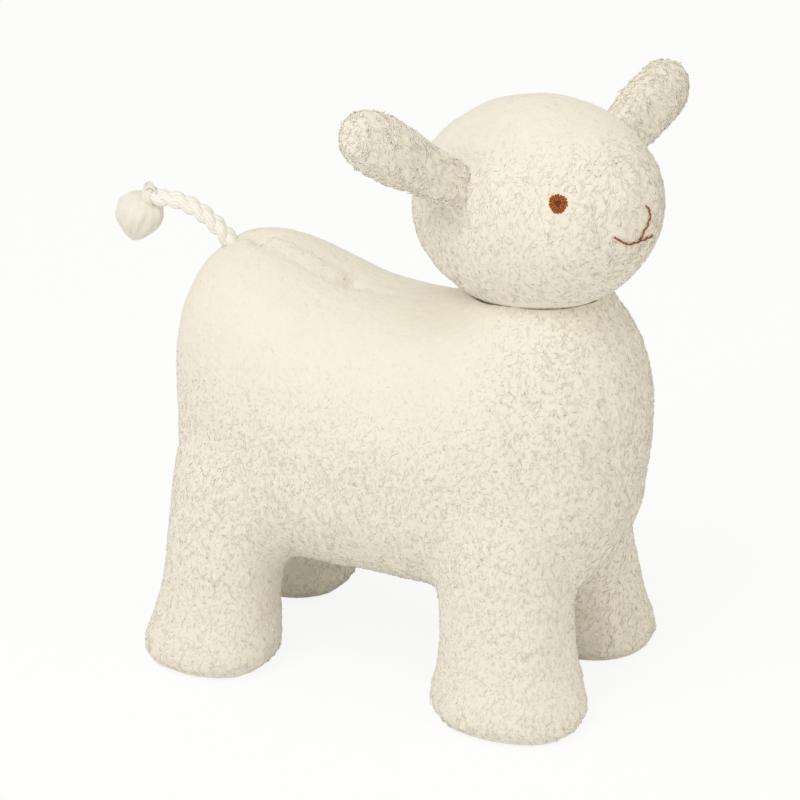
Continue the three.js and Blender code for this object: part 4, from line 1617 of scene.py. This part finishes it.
# Where a fibre starts and how much further it runs, as shares of the tuft's length
FIBRE_START = (0, 0.55)
FIBRE_RUN = (0.3, 0.6)
FIBRE_OUT = (0.985, 1.0)
FIBRE_DRIFT = 0.22


def tuft_lobes(turn, along):
    """How far the tuft's locks stand out, as a share of its radius."""
    locks = 0.04 * np.sin(3 * turn + 1) + 0.03 * np.sin(7 * turn + 9 * along)
    return 1 + locks + 0.03 * np.sin(14 * turn + 4 * along)


def dress_tuft(tail, line):
    """The frayed end: a soft lobed core under many fine fibres."""
    down = Vector((-math.cos(tail.tuft_hang), 0, -math.sin(tail.tuft_hang)))
    out = SIDEWAYS.cross(down)
    low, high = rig.box("tail_tuft")
    ahead = (Vector(line[-1]) - Vector(line[-2])).normalized()
    start = Vector((line[-1][0] + ahead.x * TUFT_AHEAD, (low.y + high.y) / 2, high.z))
    rows = smooth_rows(TUFT_SHARES, 4)
    spread = rows[:, 1] * tail.tuft_width / 2
    turn = np.arange(TUFT_AROUND) / TUFT_AROUND * 2 * math.pi
    around = np.cos(turn)[:, None] * np.array(SIDEWAYS) + np.sin(turn)[:, None] * np.array(out)
    rings = [[start]]
    for along, radius in zip(rows[:, 0], spread):
        middle = np.array(start + down * (tail.tuft_length * along))
        rings.append(middle + radius * tuft_lobes(turn, along)[:, None] * around)
    rings.append([start + down * (tail.tuft_length * TIP_SHARE)])
    forms = [loft(rings)]
    rng = np.random.default_rng(TUFT_SEED)
    radii = np.linspace(FIBRE_ROOT, FIBRE_TIP, FIBRE_STEPS)
    for _ in range(FIBRES):
        turn = rng.uniform(0, 2 * math.pi)
        first = rng.uniform(*FIBRE_START)
        last = min(1.0, first + rng.uniform(*FIBRE_RUN))
        bulge = rng.uniform(*FIBRE_OUT)
        drift = rng.normal(0, FIBRE_DRIFT)
        strand = []
        for step in range(FIBRE_STEPS):
            along = first + (last - first) * step / (FIBRE_STEPS - 1)
            angle = turn + drift * step / FIBRE_STEPS
            radius = float(np.interp(along, rows[:, 0], spread)) * bulge
            radius *= float(tuft_lobes(angle, along))
            strand.append(
                start + down * (tail.tuft_length * along)
                + (SIDEWAYS * math.cos(angle) + out * math.sin(angle)) * radius
            )
        forms.append(round_tube(np.array(strand), radii, FIBRE_SIDES))
    made = piece("tail_frayed_end", *join_forms(forms), cached("tuft_fluff", fluff_material))
    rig.slot(made, "cord")
    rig.ride(made, "tail")
    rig.replaces(made, "tail_tuft")
    return made


# Closing seam and neck

CLOSING_STITCHES = 19
CLOSING_SWING = 1.2 * MM
CLOSING_LIFT = 0.6 * MM
CLOSING_THREAD = 0.3 * MM
CLOSING_STEP = 0.5 * MM
LOOK_ASIDE = 0.6 * MM
LOOK_FROM = 0.3
THREAD_SIDES = 8


def zigzag(points, swing, lift):
    """A thread that crosses a seam at each point, dipping where it enters the cloth."""
    line = []
    for number, point in enumerate(points):
        side = SIDEWAYS * (swing if number % 2 else -swing)
        line.append(point + side - UPWARD * (lift * 0.6))
        line.append(point + side * 0.5 + UPWARD * (lift * 0.2))
    return line


def sew(name, line, radius, step, body, node):
    """A sewing thread along a line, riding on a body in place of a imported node."""
    form = round_tube(line, [radius] * len(line), THREAD_SIDES)
    made = piece(name, *form, cached("sewing_thread", thread_material))
    strand_uv(made, len(line), THREAD_SIDES, step)
    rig.slot(made, "seam_thread")
    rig.ride(made, body)
    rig.replaces(made, node)


def skin_trees(names):
    """Search trees of finished skins, to find where a line meets them."""
    graph = bpy.context.evaluated_depsgraph_get()
    return [BVHTree.FromObject(bpy.data.objects[name], graph) for name in names]


def dress_closing_thread():
    """Ladder stitches along the back, drawn down between the puckered edges."""
    trees = skin_trees([f"side_panel_{side}_cloth" for side in SIDES])
    spots = []
    for number in range(CLOSING_STITCHES):
        share = number / (CLOSING_STITCHES - 1)
        x = feet_middle.x + CLOSING_START + (CLOSING_END - CLOSING_START) * share
        hits = [
            tree.ray_cast(Vector((x, middle_left + sign * LOOK_ASIDE, LOOK_FROM)), -UPWARD)[0]
            for tree, sign in zip(trees, SIDES.values())
        ]
        spots.append(Vector((x, middle_left, max(hit.z for hit in hits if hit))))
    line = smooth_line(zigzag(spots, CLOSING_SWING, CLOSING_LIFT), CLOSING_STEP)
    sew("closing_stitches", line, CLOSING_THREAD, CLOSING_STEP, "trunk", "closing_thread")


# Outline of the plug in the neck from its foot to its top: along, width
PLUG_SHARES = [(0, 0.72), (0.03, 0.9), (0.12, 1), (0.5, 1), (0.9, 1), (0.97, 0.97)]
PLUG_RADIUS = 15 * MM
PLUG_LENGTH = 25.4 * MM
PLUG_TOP = 24.4 * MM
PLUG_BELOW = 26 * MM
PLUG_AROUND = 40
PLUG_LUMP, PLUG_LUMP_WIDTH = 0.5 * MM, 7 * MM

# The ring of ladder stitches that draws the head down on the shoulders
NECK_STITCHES = 22
NECK_RING_RADIUS = 16.2 * MM
NECK_RING_BELOW = 4.2 * MM
NECK_SWING = 1.0 * MM
NECK_THREAD = 0.55 * MM
NECK_STEP = 0.8 * MM


def dress_neck(head):
    """The plug that carries the head, and the ladder stitches that draw the head down."""
    place = head_place(head)
    base = -(head.height / 2 + head.neck_reach) - PLUG_BELOW
    rings = [[place @ Vector((0, 0, base))]]
    for along, wide in PLUG_SHARES:
        rings.append(flat_ring(place, PLUG_RADIUS * wide, base + PLUG_LENGTH * along, PLUG_AROUND))
    rings.append([place @ Vector((0, 0, base + PLUG_TOP))])
    made = subdivide(piece("neck_plug", *loft(rings), cached("pile_cloth", cloth_material)))
    points = points_of(made)
    lumps = PLUG_LUMP * roughen(points, PLUG_LUMP_WIDTH, 2)
    place_points(made, points + normals_of(made) * lumps[:, None])
    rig.slot(made, "filling")
    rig.ride(made, "neck")
    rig.replaces(made, "neck_filling")
    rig.padded(made, 0.8)

    stitches = []
    for number in range(NECK_STITCHES * 2):
        turn = number / (NECK_STITCHES * 2) * 2 * math.pi
        swing = NECK_SWING if (number // 2) % 2 else -NECK_SWING
        out = Vector((math.cos(turn), math.sin(turn), 0)) * NECK_RING_RADIUS
        height = swing - (head.height / 2 + NECK_RING_BELOW)
        stitches.append(place @ (out + UPWARD * height))
    line = smooth_line([*stitches, stitches[0]], NECK_STEP)
    sew("neck_ladder_stitches", line, NECK_THREAD, NECK_STEP, "neck", "neck_thread")


# Head

HEAD_ROWS = 40
HEAD_AROUND = 56


def head_form(head, inset):
    """An egg that narrows towards the nose, in the head's own frame."""
    rings = []
    for row in range(HEAD_ROWS + 1):
        turn = row / HEAD_ROWS * math.pi
        x, radius = -math.cos(turn), math.sin(turn)
        taper = 1 - head.muzzle_taper * max(0, x) ** 2
        middle = ((head.length / 2 - inset) * x, 0, 0)
        if row in (0, HEAD_ROWS):
            rings.append([middle])
            continue
        side = (0, (head.width / 2 - inset) * radius * taper, 0)
        rise = (0, 0, (head.height / 2 - inset) * radius * taper)
        rings.append(section(middle, side, rise, rise, 2, HEAD_AROUND))
    return loft(rings)


# The face's stitch lines in the head's own frame: aside, above
MOUTH_LINE = [
    (-0.0131, -0.0124),
    (-0.0105, -0.0141),
    (-0.0071, -0.0159),
    (-0.0041, -0.0161),
    (-0.0006, -0.0156),
    (0.0028, -0.0152),
    (0.0077, -0.0145),
]
NOSE_LINE = [
    (0.0005, -0.0016),
    (0.0019, -0.0033),
    (0.0026, -0.0061),
    (0.0012, -0.0098),
    (0.0, -0.0121),
    (-0.0008, -0.0153),
]

# How full the curls stand on the crown, and how much more on the cheeks and the muzzle
CROWN_CURLS = 0.45
CHEEK_CURLS = 0.42
MUZZLE_CURLS = 0.2
CHEEK_HEIGHTS = (36 * MM, 14 * MM)
MUZZLE_AHEAD = (40 * MM, 56 * MM)

# Distances from an eye, a stitch line and the neck at which the curls start and are full
EYE_CLEARING = (3.0 * MM, 4.4 * MM)
LINE_CLEARING = (0.3 * MM, 1.8 * MM)
NECK_CLEARING = (-41 * MM, -36 * MM)
NECK_CLEARED = 24 * MM


def head_curliness(own):
    """Curls are flatter on the crown than on the cheeks and fullest on the muzzle."""
    cheek = smoothstep(*CHEEK_HEIGHTS, own[:, 2])
    muzzle = smoothstep(*MUZZLE_AHEAD, own[:, 0])
    return CROWN_CURLS + CHEEK_CURLS * cheek + MUZZLE_CURLS * muzzle


def head_pile_share(head, own):
    """Where the head's pile grows: none over the eyes or the neck, little beside the lines."""
    share = head_curliness(own)
    ahead = own[:, 0] > 0
    clearings = [(sign * head.eye_aside, head.eye_above, EYE_CLEARING) for sign in SIDES.values()]
    for line in (MOUTH_LINE, NOSE_LINE):
        dense = smooth_rows([(0, *spot) for spot in line], 6)[:, 1:]
        clearings += [(aside, above, LINE_CLEARING) for aside, above in dense]
    for aside, above, clearing in clearings:
        distance = np.hypot(own[:, 1] - aside, own[:, 2] - above)
        share *= np.where(ahead, smoothstep(*clearing, distance), 1)
    under = np.hypot(own[:, 0], own[:, 1]) < NECK_CLEARED
    return share * np.where(under, smoothstep(*NECK_CLEARING, own[:, 2]), 1)


# Relief of the head's cloth: how deep or high, and how wide
HEAD_SWELL = 1.6 * MM
HEAD_GROOVE, HEAD_GROOVE_WIDTH = 0.2 * MM, 1.8 * MM
HEAD_GROOVE_HEIGHTS = (-10 * MM, 30 * MM)
HEAD_LUMP, HEAD_LUMP_WIDTH = 0.8 * MM, 22 * MM
HEAD_DENT, HEAD_DENT_WIDTH = 0.3 * MM, 8 * MM
CHIN_HEIGHTS = (-20 * MM, -40 * MM)
EAR_RING, EAR_RING_RADIUS, EAR_RING_WIDTH = 1.6 * MM, 13 * MM, 4 * MM

# Cloth this near the middle seam and the neck is held while the head swells
HELD_ASIDE = 2.2 * MM
HELD_AT_NECK = 17 * MM


def head_held(own):
    seam = np.abs(own[:, 1]) < HELD_ASIDE
    neck = (np.hypot(own[:, 0], own[:, 1]) < HELD_AT_NECK) & (own[:, 2] < 0)
    return np.where(seam | neck, 1.0, 0.0)


def shape_head(head, made):
    """The middle seam, lumps of filling, and the hollow that each ear is drawn into."""
    own = points_of(made)
    out = normals_of(made)
    groove = HEAD_GROOVE * bell(own[:, 1], HEAD_GROOVE_WIDTH)
    groove *= smoothstep(*HEAD_GROOVE_HEIGHTS, own[:, 2])
    lumps = HEAD_LUMP * roughen(own, HEAD_LUMP_WIDTH, 3)
    lumps += HEAD_DENT * roughen(own, HEAD_DENT_WIDTH, 4)
    chin = smoothstep(*CHIN_HEIGHTS, own[:, 2])
    own = own + out * ((lumps - groove) * (1 - chin))[:, None]
    for sign in SIDES.values():
        distance = np.linalg.norm(own - np.array(ear_root(head, sign)), axis=1)
        hollow = EAR_RING * bell(distance - EAR_RING_RADIUS, EAR_RING_WIDTH)
        own = own - out * hollow[:, None]
    place_points(made, own)


def dress_head(head):
    place = head_place(head)
    inset = bpy.context.scene.sheep_pile.inset - HEAD_SUNK
    made = piece("head_skin", *head_form(head, inset))
    stuff(made, BODY_GRAIN, HEAD_ROUNDS, head_held, HEAD_SWELL)
    shape_head(head, made)

    def panel_of(middle):
        return "head_panel_left" if middle.y > 0 else "head_panel_right"

    panels = split_panels(made, [(Vector(), SIDEWAYS)], panel_of)
    bpy.data.objects.remove(made)
    for number, (name, (own, faces)) in enumerate(sorted(panels.items())):
        share = head_pile_share(head, own)
        skin, pile = skin_with_pile(name, through(place, own), faces, share, 20 + number)
        for made in (skin, pile):
            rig.slot(made, "pile")
            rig.ride(made, "head")
        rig.replaces(skin, name, *(["head_filling"] if name.endswith("left") else []))
        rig.padded(skin, 0.95)


# Ears

# Sections of an ear from its root to its tip: along, width, thickness
EAR_SHARES = [
    (0.14, 0.76, 1.0),
    (0.3, 0.84, 0.98),
    (0.48, 0.94, 1.0),
    (0.66, 1.0, 1.0),
    (0.8, 0.97, 0.93),
    (0.9, 0.82, 0.77),
    (0.965, 0.54, 0.50),
    (1.0, 0, 0),
]


EAR_POWER = 2.1
EAR_AROUND = 40

# Relief of an ear's cloth, and where its fold and its curls run along it
EAR_SWELL = 1.0 * MM
EAR_RIM, EAR_RIM_WIDTH = 0.8 * MM, 1.6 * MM
EAR_FOLD, EAR_FOLD_WIDTH = 2.6 * MM, 4.5 * MM
EAR_FOLD_ALONG = (52 * MM, 12 * MM)
EAR_LUMP, EAR_LUMP_WIDTH = 0.5 * MM, 14 * MM
EAR_CURLS = 1.15
EAR_CURLS_ALONG = (-4 * MM, 2 * MM)
EAR_THINNING = 0.4


def ear_root(head, sign):
    return Vector((-head.ear_behind, sign * head.ear_aside, head.ear_above))


def ear_place(head, sign):
    """An ear's own frame: X along it, Z across its width, Y through its padding."""
    turn = Matrix.Rotation(sign * (math.pi / 2 + head.ear_swept), 4, "Z")
    rise = Matrix.Rotation(-head.ear_raised, 4, "Y")
    return head_place(head) @ Matrix.Translation(ear_root(head, sign)) @ turn @ rise


def ear_form(head, inset):
    """A padded ear with a round root, in the ear's own frame."""
    radius = head.ear_root - inset
    rings = [[(-radius, 0, 0)]]
    for row in range(1, DOME_ROWS + 1):
        turn = row / DOME_ROWS * math.pi / 2
        wide = radius * math.sin(turn)
        middle = (-radius * math.cos(turn), 0, 0)
        rings.append(section(middle, (0, wide, 0), (0, 0, wide), (0, 0, wide), 2, EAR_AROUND))
    for along, width, thickness in smooth_rows(EAR_SHARES, 3, False, True):
        middle = ((head.ear_length - inset) * along, 0, 0)
        if width < LEAST_WIDTH:
            rings.append([middle])
            continue
        side = (0, (head.ear_thickness / 2 - inset) * thickness, 0)
        rise = (0, 0, (head.ear_width / 2 - inset) * width)
        rings.append(section(middle, side, rise, rise, EAR_POWER, EAR_AROUND))
    return loft(rings)


def shape_ear(made, sign, seed):
    """A sewn rim, a fold down the inner side and lumps of padding."""
    own = points_of(made)
    fold = bell(own[:, 2], EAR_FOLD_WIDTH) * smoothstep(*EAR_FOLD_ALONG, own[:, 0])
    rise = EAR_LUMP * roughen(own, EAR_LUMP_WIDTH, seed)
    rise -= EAR_RIM * bell(own[:, 1], EAR_RIM_WIDTH)
    rise -= np.where(own[:, 1] * sign < 0, EAR_FOLD * fold, 0)
    place_points(made, own + normals_of(made) * rise[:, None])


def ear_held(own):
    return np.where(np.abs(own[:, 1]) < EAR_RIM_WIDTH, 1.0, 0.0)


def dress_ears(head):
    inset = bpy.context.scene.sheep_pile.inset - EAR_SUNK
    for number, (label, sign) in enumerate(SIDES.items()):
        place = ear_place(head, sign)
        made = piece(f"ear_{label}_skin", *ear_form(head, inset))
        stuff(made, EAR_GRAIN, EAR_ROUNDS, ear_held, EAR_SWELL)
        shape_ear(made, sign, 6 + number)

        def panel_of(middle):
            return f"ear_{label}_{'back' if middle.y * sign > 0 else 'front'}"

        panels = split_panels(made, [(Vector(), SIDEWAYS)], panel_of)
        bpy.data.objects.remove(made)
        for name, (own, faces) in sorted(panels.items()):
            share = EAR_CURLS * smoothstep(*EAR_CURLS_ALONG, own[:, 0])
            share = share * (1 - EAR_THINNING * bell(own[:, 1], SEAM_PARTING))
            skin, pile = skin_with_pile(name, through(place, own), faces, share, 30 + number)
            for made in (skin, pile):
                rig.slot(made, "pile")
                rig.ride(made, f"ear_{label}")
            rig.replaces(skin, name)
            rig.padded(skin, 0.8)


# Face

# Rings of wound thread in an eye: distance out as a share of its radius, rise in mm, turns
EYE_RINGS = [(0.74, 0.1, 9), (0.48, 0.45, 6)]
EYE_PLIES = 2
EYE_STEPS = 96
EYE_SUNK = 0.5 * MM
EYE_SEED = 11
PLY_SHARE = 0.12
PLY_CLOSE = 0.95
PLY_SIDES = 5

# Outline of the dark pad under them, painted shade for the hole in their middle: distance out as a share of the eye's
# radius, rise in mm
PAD_RINGS = [(0.74, -0.45), (0.78, 0.1), (0.6, 0.6), (0.3, 0.6), (0.15, 0.55)]
PAD_AROUND = 28
PAD_HALF = 0.5 * MM


def face_seats(head, places, lift):
    """Points on the head's skin and the way out of it, seen straight from ahead."""
    place = head_place(head)
    turned = place.to_3x3()
    trees = skin_trees([f"head_panel_{side}_cloth" for side in SIDES])
    back = (turned @ Vector((-1, 0, 0))).normalized()
    seats = []
    for aside, above in places:
        start = place @ Vector((head.length, aside, above))
        hits = [tree.ray_cast(start, back) for tree in trees]
        hit = min((hit for hit in hits if hit[0]), key=lambda found: found[3])
        own = place.inverted() @ hit[0]
        sizes = (head.length, head.width, head.height)
        out = Vector([c / (size / 2) ** 2 for c, size in zip(own, sizes)])
        out = (turned @ out).normalized()
        seats.append((hit[0] + out * lift, out))
    return seats


def wound_ring(place, edge, share, rise, winds, strand, lean):
    """One ply of thread wound round a ring of an eye."""
    ply = edge * PLY_SHARE
    angle = np.linspace(0, 2 * math.pi, EYE_STEPS + 1)
    wobble = 1 + 0.06 * np.sin(3 * angle + lean[0]) + 0.04 * np.sin(7 * angle + lean[1])
    wind = angle * winds + strand / EYE_PLIES * 2 * math.pi
    radius = edge * share * wobble + ply * np.cos(wind)
    height = rise * MM + ply * np.sin(wind)
    own = np.array([radius * np.cos(angle), radius * np.sin(angle), height]).T
    return round_tube(through(place, own), [ply * PLY_CLOSE] * len(own), PLY_SIDES)


def dress_eye(head, label, sign):
    """Rings of wound thread about a dark pad, painted shade for the hole in their middle."""
    seat, out = face_seats(head, [(sign * head.eye_aside, head.eye_above)], -EYE_SUNK)[0]
    turned = UPWARD.rotation_difference(out).to_matrix().to_4x4()
    place = Matrix.Translation(seat) @ turned
    rng = np.random.default_rng(EYE_SEED + sign)
    edge = head.eye_diameter / 2
    forms = []
    for share, rise, winds in EYE_RINGS:
        lean = rng.uniform(0, 2 * math.pi, 2)
        forms += [
            wound_ring(place, edge, share, rise, winds, strand, lean)
            for strand in range(EYE_PLIES)
        ]
    eye = piece(f"eye_{label}_satin", *join_forms(forms), cached("copper_thread", copper_material))
    strand_uv(eye, EYE_STEPS + 1, PLY_SIDES, edge * 4 / EYE_STEPS)
    # Painted shade: a dark pad under the rings fills the hole in their middle.
    rings = [[place @ (UPWARD * -PAD_HALF)]]
    rings += [flat_ring(place, edge * share, rise * MM, PAD_AROUND) for share, rise in PAD_RINGS]
    rings.append([place @ (UPWARD * PAD_HALF)])
    pad = piece(f"eye_{label}_shade_pad", *loft(rings), cached("pupil_thread", shade_pad_material))
    for made in (eye, pad):
        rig.slot(made, "face_thread")
        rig.ride(made, "head")
    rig.replaces(eye, f"eye_{label}")


# Backstitches: how far each reaches back over the last, its arch, and its two plies
STITCH_LIFT = 0.7 * MM
STITCH_STEPS = 12
STITCH_OVERLAP = 0.22
STITCH_ARCH = 0.7 * MM
STITCH_DIP = 0.7
STITCH_PLIES = 2
STITCH_TURNS = 1.25
STITCH_SIDES = 6
PLY_OUT = 0.5
PLY_RADIUS = 0.62


def between(places, run, rows):
    """Rows of three numbers read at places along a run."""
    return np.array([np.interp(places, run, rows[:, i]) for i in range(3)]).T


def dress_stitch_line(head, name, node, spots, stitches):
    """A line of backstitches: short twisted threads that dive into the pile at both ends."""
    flat = smooth_rows([(0, *spot) for spot in spots], 8)[:, 1:]
    seats = face_seats(head, flat, STITCH_LIFT)
    line = np.array([seat for seat, _ in seats])
    outward = np.array([out for _, out in seats])
    run = np.concatenate([[0], np.cumsum(np.linalg.norm(np.diff(line, axis=0), axis=1))])
    radius = head.face_thread / 2
    radii = [radius * PLY_RADIUS] * STITCH_STEPS
    arch = np.sin(np.linspace(0, math.pi, STITCH_STEPS))
    forms = []
    for stitch in range(stitches):
        first = max(0, (stitch - STITCH_OVERLAP) / stitches) * run[-1]
        last = min(1, (stitch + 1.0) / stitches) * run[-1]
        places = np.linspace(first, last, STITCH_STEPS)
        out = between(places, run, outward)
        middle = between(places, run, line) + out * ((arch - STITCH_DIP) * STITCH_ARCH)[:, None]
        across = np.cross(np.gradient(middle, axis=0), out)
        across /= np.linalg.norm(across, axis=1, keepdims=True)
        for ply in range(STITCH_PLIES):
            turn = np.linspace(0, STITCH_TURNS * 2 * math.pi, STITCH_STEPS) + ply * math.pi
            wound = middle + across * (np.cos(turn) * radius * PLY_OUT)[:, None]
            wound = wound + out * (np.sin(turn) * radius * PLY_OUT)[:, None]
            forms.append(round_tube(wound, radii, STITCH_SIDES))
    made = piece(name, *join_forms(forms), cached("mouth_thread", mouth_material))
    strand_uv(made, STITCH_STEPS, STITCH_SIDES, float(run[-1]) / stitches / STITCH_STEPS)
    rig.slot(made, "face_thread")
    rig.ride(made, "head")
    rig.replaces(made, node)


# Stage

VIEW_AZIMUTH = math.radians(24)
VIEW_ELEVATION = math.radians(25.5)
VIEW_DISTANCE = 2.0
VIEW_LENS = 209.3
SENSOR = 36
VIEW_TARGET = Vector((0, 0, 110 * MM))
VIEW_RAISE = 8.4 * MM
VIEW_FARTHEST = 20

# Lamps: name, place to the right, above and towards the camera, size, power, colour
LAMPS = [
    ("key_lamp", (-0.75, 1.25, 1.1), 1.3, 16.0, (0.985, 0.995, 1)),
    ("fill_lamp", (1.2, 0.25, 1.2), 1.4, 2.2, (1, 0.94, 0.84)),
]
SKY = (1, 0.955, 0.86, 1)
SKY_STRENGTH = 0.67

# How white the camera sees the floor, how far it reaches and how far it lies under the feet
FLOOR_WHITE = 0.88
FLOOR_REACH = 3.0
FLOOR_BELOW = 0.2 * MM


def view_axes():
    """Right, up and back of the photograph's view."""
    right = Vector((math.cos(VIEW_AZIMUTH), math.sin(VIEW_AZIMUTH), 0))
    level = Vector((math.sin(VIEW_AZIMUTH), -math.cos(VIEW_AZIMUTH), 0))
    back = level * math.cos(VIEW_ELEVATION) + Vector((0, 0, math.sin(VIEW_ELEVATION)))
    return right, back.cross(right), back


def set_camera(context):
    right, up, back = view_axes()
    data = bpy.data.cameras.new("studio_camera")
    data.lens = VIEW_LENS
    data.sensor_width = SENSOR
    data.clip_end = VIEW_FARTHEST
    camera = bpy.data.objects.new("studio_camera", data)
    context.scene.collection.objects.link(camera)
    place = feet_middle + VIEW_TARGET + up * VIEW_RAISE + back * VIEW_DISTANCE
    turned = Matrix((right, up, back)).transposed().to_4x4()
    camera.matrix_world = Matrix.Translation(place) @ turned
    context.scene.camera = camera


def set_lamp(context, name, offset, size, power, colour):
    """A large soft lamp that looks at the toy's middle."""
    right, _, back = view_axes()
    data = bpy.data.lights.new(name, "AREA")
    data.shape = "DISK"
    data.size = size
    data.energy = power
    data.color = colour
    lamp = bpy.data.objects.new(name, data)
    context.scene.collection.objects.link(lamp)
    middle = feet_middle + VIEW_TARGET
    place = middle + right * offset[0] + UPWARD * offset[1] + back * offset[2]
    lamp.matrix_world = Matrix.Translation(place) @ (
        (place - middle).to_track_quat("Z", "Y").to_matrix().to_4x4()
    )


def set_world(context):
    """White to the camera and to reflections, and a soft even light to everything else."""
    world = bpy.data.worlds.new("studio_sky")
    world.use_nodes = True
    tree = world.node_tree
    tree.nodes.clear()
    path = add_node(tree, "ShaderNodeLightPath").outputs
    seen = maths(tree, "MAXIMUM", path["Is Camera Ray"], path["Is Glossy Ray"])
    seen = maths(tree, "MAXIMUM", seen, path["Is Transmission Ray"])
    light = add_node(tree, "ShaderNodeBackground", {"Color": SKY, "Strength": SKY_STRENGTH})
    white = add_node(tree, "ShaderNodeBackground", {"Color": WHITE, "Strength": 1.0})
    mixed = add_node(tree, "ShaderNodeMixShader", {
        0: seen, 1: light.outputs[0], 2: white.outputs[0],
    })
    output = tree.nodes.new("ShaderNodeOutputWorld")
    tree.links.new(mixed.outputs[0], output.inputs["Surface"])
    context.scene.world = world


def floor_material():
    """Pale floor: the camera sees it nearly white, and it keeps the toy's soft shadow."""
    colours = bpy.context.scene.sheep_colours
    material = bpy.data.materials.new("studio_floor")
    material.use_nodes = True
    tree = material.node_tree
    tree.nodes.clear()
    path = add_node(tree, "ShaderNodeLightPath").outputs
    plain = add_node(tree, "ShaderNodeBsdfDiffuse", {"Color": opaque(colours.floor)})
    white = add_node(tree, "ShaderNodeEmission", {"Color": WHITE, "Strength": 1.0})
    seen = maths(tree, "MULTIPLY", path["Is Camera Ray"], FLOOR_WHITE)
    mixed = add_node(tree, "ShaderNodeMixShader", {
        0: seen, 1: plain.outputs[0], 2: white.outputs[0],
    })
    output = tree.nodes.new("ShaderNodeOutputMaterial")
    tree.links.new(mixed.outputs[0], output.inputs["Surface"])
    return material


def set_floor():
    corners = [
        (x * FLOOR_REACH, y * FLOOR_REACH, -FLOOR_BELOW)
        for x, y in ((-1, -1), (1, -1), (1, 1), (-1, 1))
    ]
    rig.stage(open_skin("studio_floor", corners, [(0, 1, 2, 3)], floor_material()))


# Operators

class SHEEP_OT_stage(Operator):
    """Set up the camera, the lamps, the sky and the floor"""

    bl_idname = "sheep.stage"
    bl_label = "Stage"

    def execute(self, context):
        set_camera(context)
        set_world(context)
        for lamp in LAMPS:
            set_lamp(context, *lamp)
        set_floor()
        context.scene.view_settings.view_transform = "Standard"
        return {"FINISHED"}


class SHEEP_OT_tail(Operator):
    """Braid the tail's cord and fray its end"""

    bl_idname = "sheep.tail"
    bl_label = "Tail"

    def execute(self, context):
        tail = context.scene.sheep_tail
        cord, line = dress_tail_cord(tail)
        on_cord = [dress_whipping(tail, line), dress_tuft(tail, line)]
        run = np.linalg.norm(np.diff(line, axis=0), axis=1).sum()
        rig.cord(
            cord,
            exit=placed_tail_points()[1],
            length=float(run),
            diameter=tail.diameter,
            far_end="knot",
            stiffness="stiff",
            lay="hanging",
            path=line,
            with_pieces=on_cord,
        )
        return {"FINISHED"}


class SHEEP_OT_body(Operator):
    """Stuff the body and legs and grow their pile"""

    bl_idname = "sheep.body"
    bl_label = "Body and legs"

    def execute(self, context):
        dress_body(context.scene.sheep_body, context.scene.sheep_head)
        return {"FINISHED"}


class SHEEP_OT_closing_seam(Operator):
    """Sew the closing seam on the back"""

    bl_idname = "sheep.closing_seam"
    bl_label = "Closing seam"

    def execute(self, context):
        dress_closing_thread()
        return {"FINISHED"}


class SHEEP_OT_neck(Operator):
    """Fill the neck and sew its ladder stitches"""

    bl_idname = "sheep.neck"
    bl_label = "Neck"

    def execute(self, context):
        dress_neck(context.scene.sheep_head)
        return {"FINISHED"}


class SHEEP_OT_head(Operator):
    """Stuff the head and grow its pile"""

    bl_idname = "sheep.head"
    bl_label = "Head"

    def execute(self, context):
        dress_head(context.scene.sheep_head)
        return {"FINISHED"}


class SHEEP_OT_ears(Operator):
    """Pad both ears and grow their pile"""

    bl_idname = "sheep.ears"
    bl_label = "Ears"

    def execute(self, context):
        dress_ears(context.scene.sheep_head)
        return {"FINISHED"}


class SHEEP_OT_face(Operator):
    """Embroider the eyes, the nose and the mouth"""

    bl_idname = "sheep.face"
    bl_label = "Face"

    def execute(self, context):
        head = context.scene.sheep_head
        for label, sign in SIDES.items():
            dress_eye(head, label, sign)
        dress_stitch_line(head, "mouth_backstitch", "mouth_stitch", MOUTH_LINE, 6)
        dress_stitch_line(head, "nose_backstitch", "nose_stitch", NOSE_LINE, 4)
        return {"FINISHED"}


OPERATORS = (
    SHEEP_OT_stage,
    SHEEP_OT_tail,
    SHEEP_OT_body,
    SHEEP_OT_closing_seam,
    SHEEP_OT_neck,
    SHEEP_OT_head,
    SHEEP_OT_ears,
    SHEEP_OT_face,
)
GROUPS = {
    "sheep_body": SheepBody,
    "sheep_head": SheepHead,
    "sheep_tail": SheepTail,
    "sheep_pile": SheepPile,
    "sheep_colours": SheepColours,
}


class SHEEP_PT_panel(Panel):
    """Lists the sheep's pieces and sizes in the sidebar"""

    bl_idname = "SHEEP_PT_panel"
    bl_label = "Plush Sheep"
    bl_space_type = "VIEW_3D"
    bl_region_type = "UI"
    bl_category = "Plush Sheep"

    def draw(self, context):
        for operator in OPERATORS:
            self.layout.operator(operator.bl_idname)
        for name in GROUPS:
            group = getattr(context.scene, name)
            box = self.layout.box()
            for label in group.bl_rna.properties.keys():
                if label not in ("rna_type", "name"):
                    box.prop(group, label)


def register():
    for made in (*GROUPS.values(), *OPERATORS, SHEEP_PT_panel):
        bpy.utils.register_class(made)
    for name, group in GROUPS.items():
        setattr(bpy.types.Scene, name, PointerProperty(type=group))


def unregister():
    for name in GROUPS:
        delattr(bpy.types.Scene, name)
    for made in (SHEEP_PT_panel, *OPERATORS, *reversed(list(GROUPS.values()))):
        bpy.utils.unregister_class(made)


def main():
    register()
    bpy.ops.sheep.stage()
    bpy.ops.sheep.tail()
    bpy.ops.sheep.body()
    bpy.ops.sheep.closing_seam()
    bpy.ops.sheep.neck()
    bpy.ops.sheep.head()
    bpy.ops.sheep.ears()
    bpy.ops.sheep.face()
    boxes = {"cad": packed_box, "visual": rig.bounds()}
    with open("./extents.json", "w") as file:
        json.dump({name: [list(corner) for corner in box] for name, box in boxes.items()}, file)


if __name__ == "__main__":
    main()
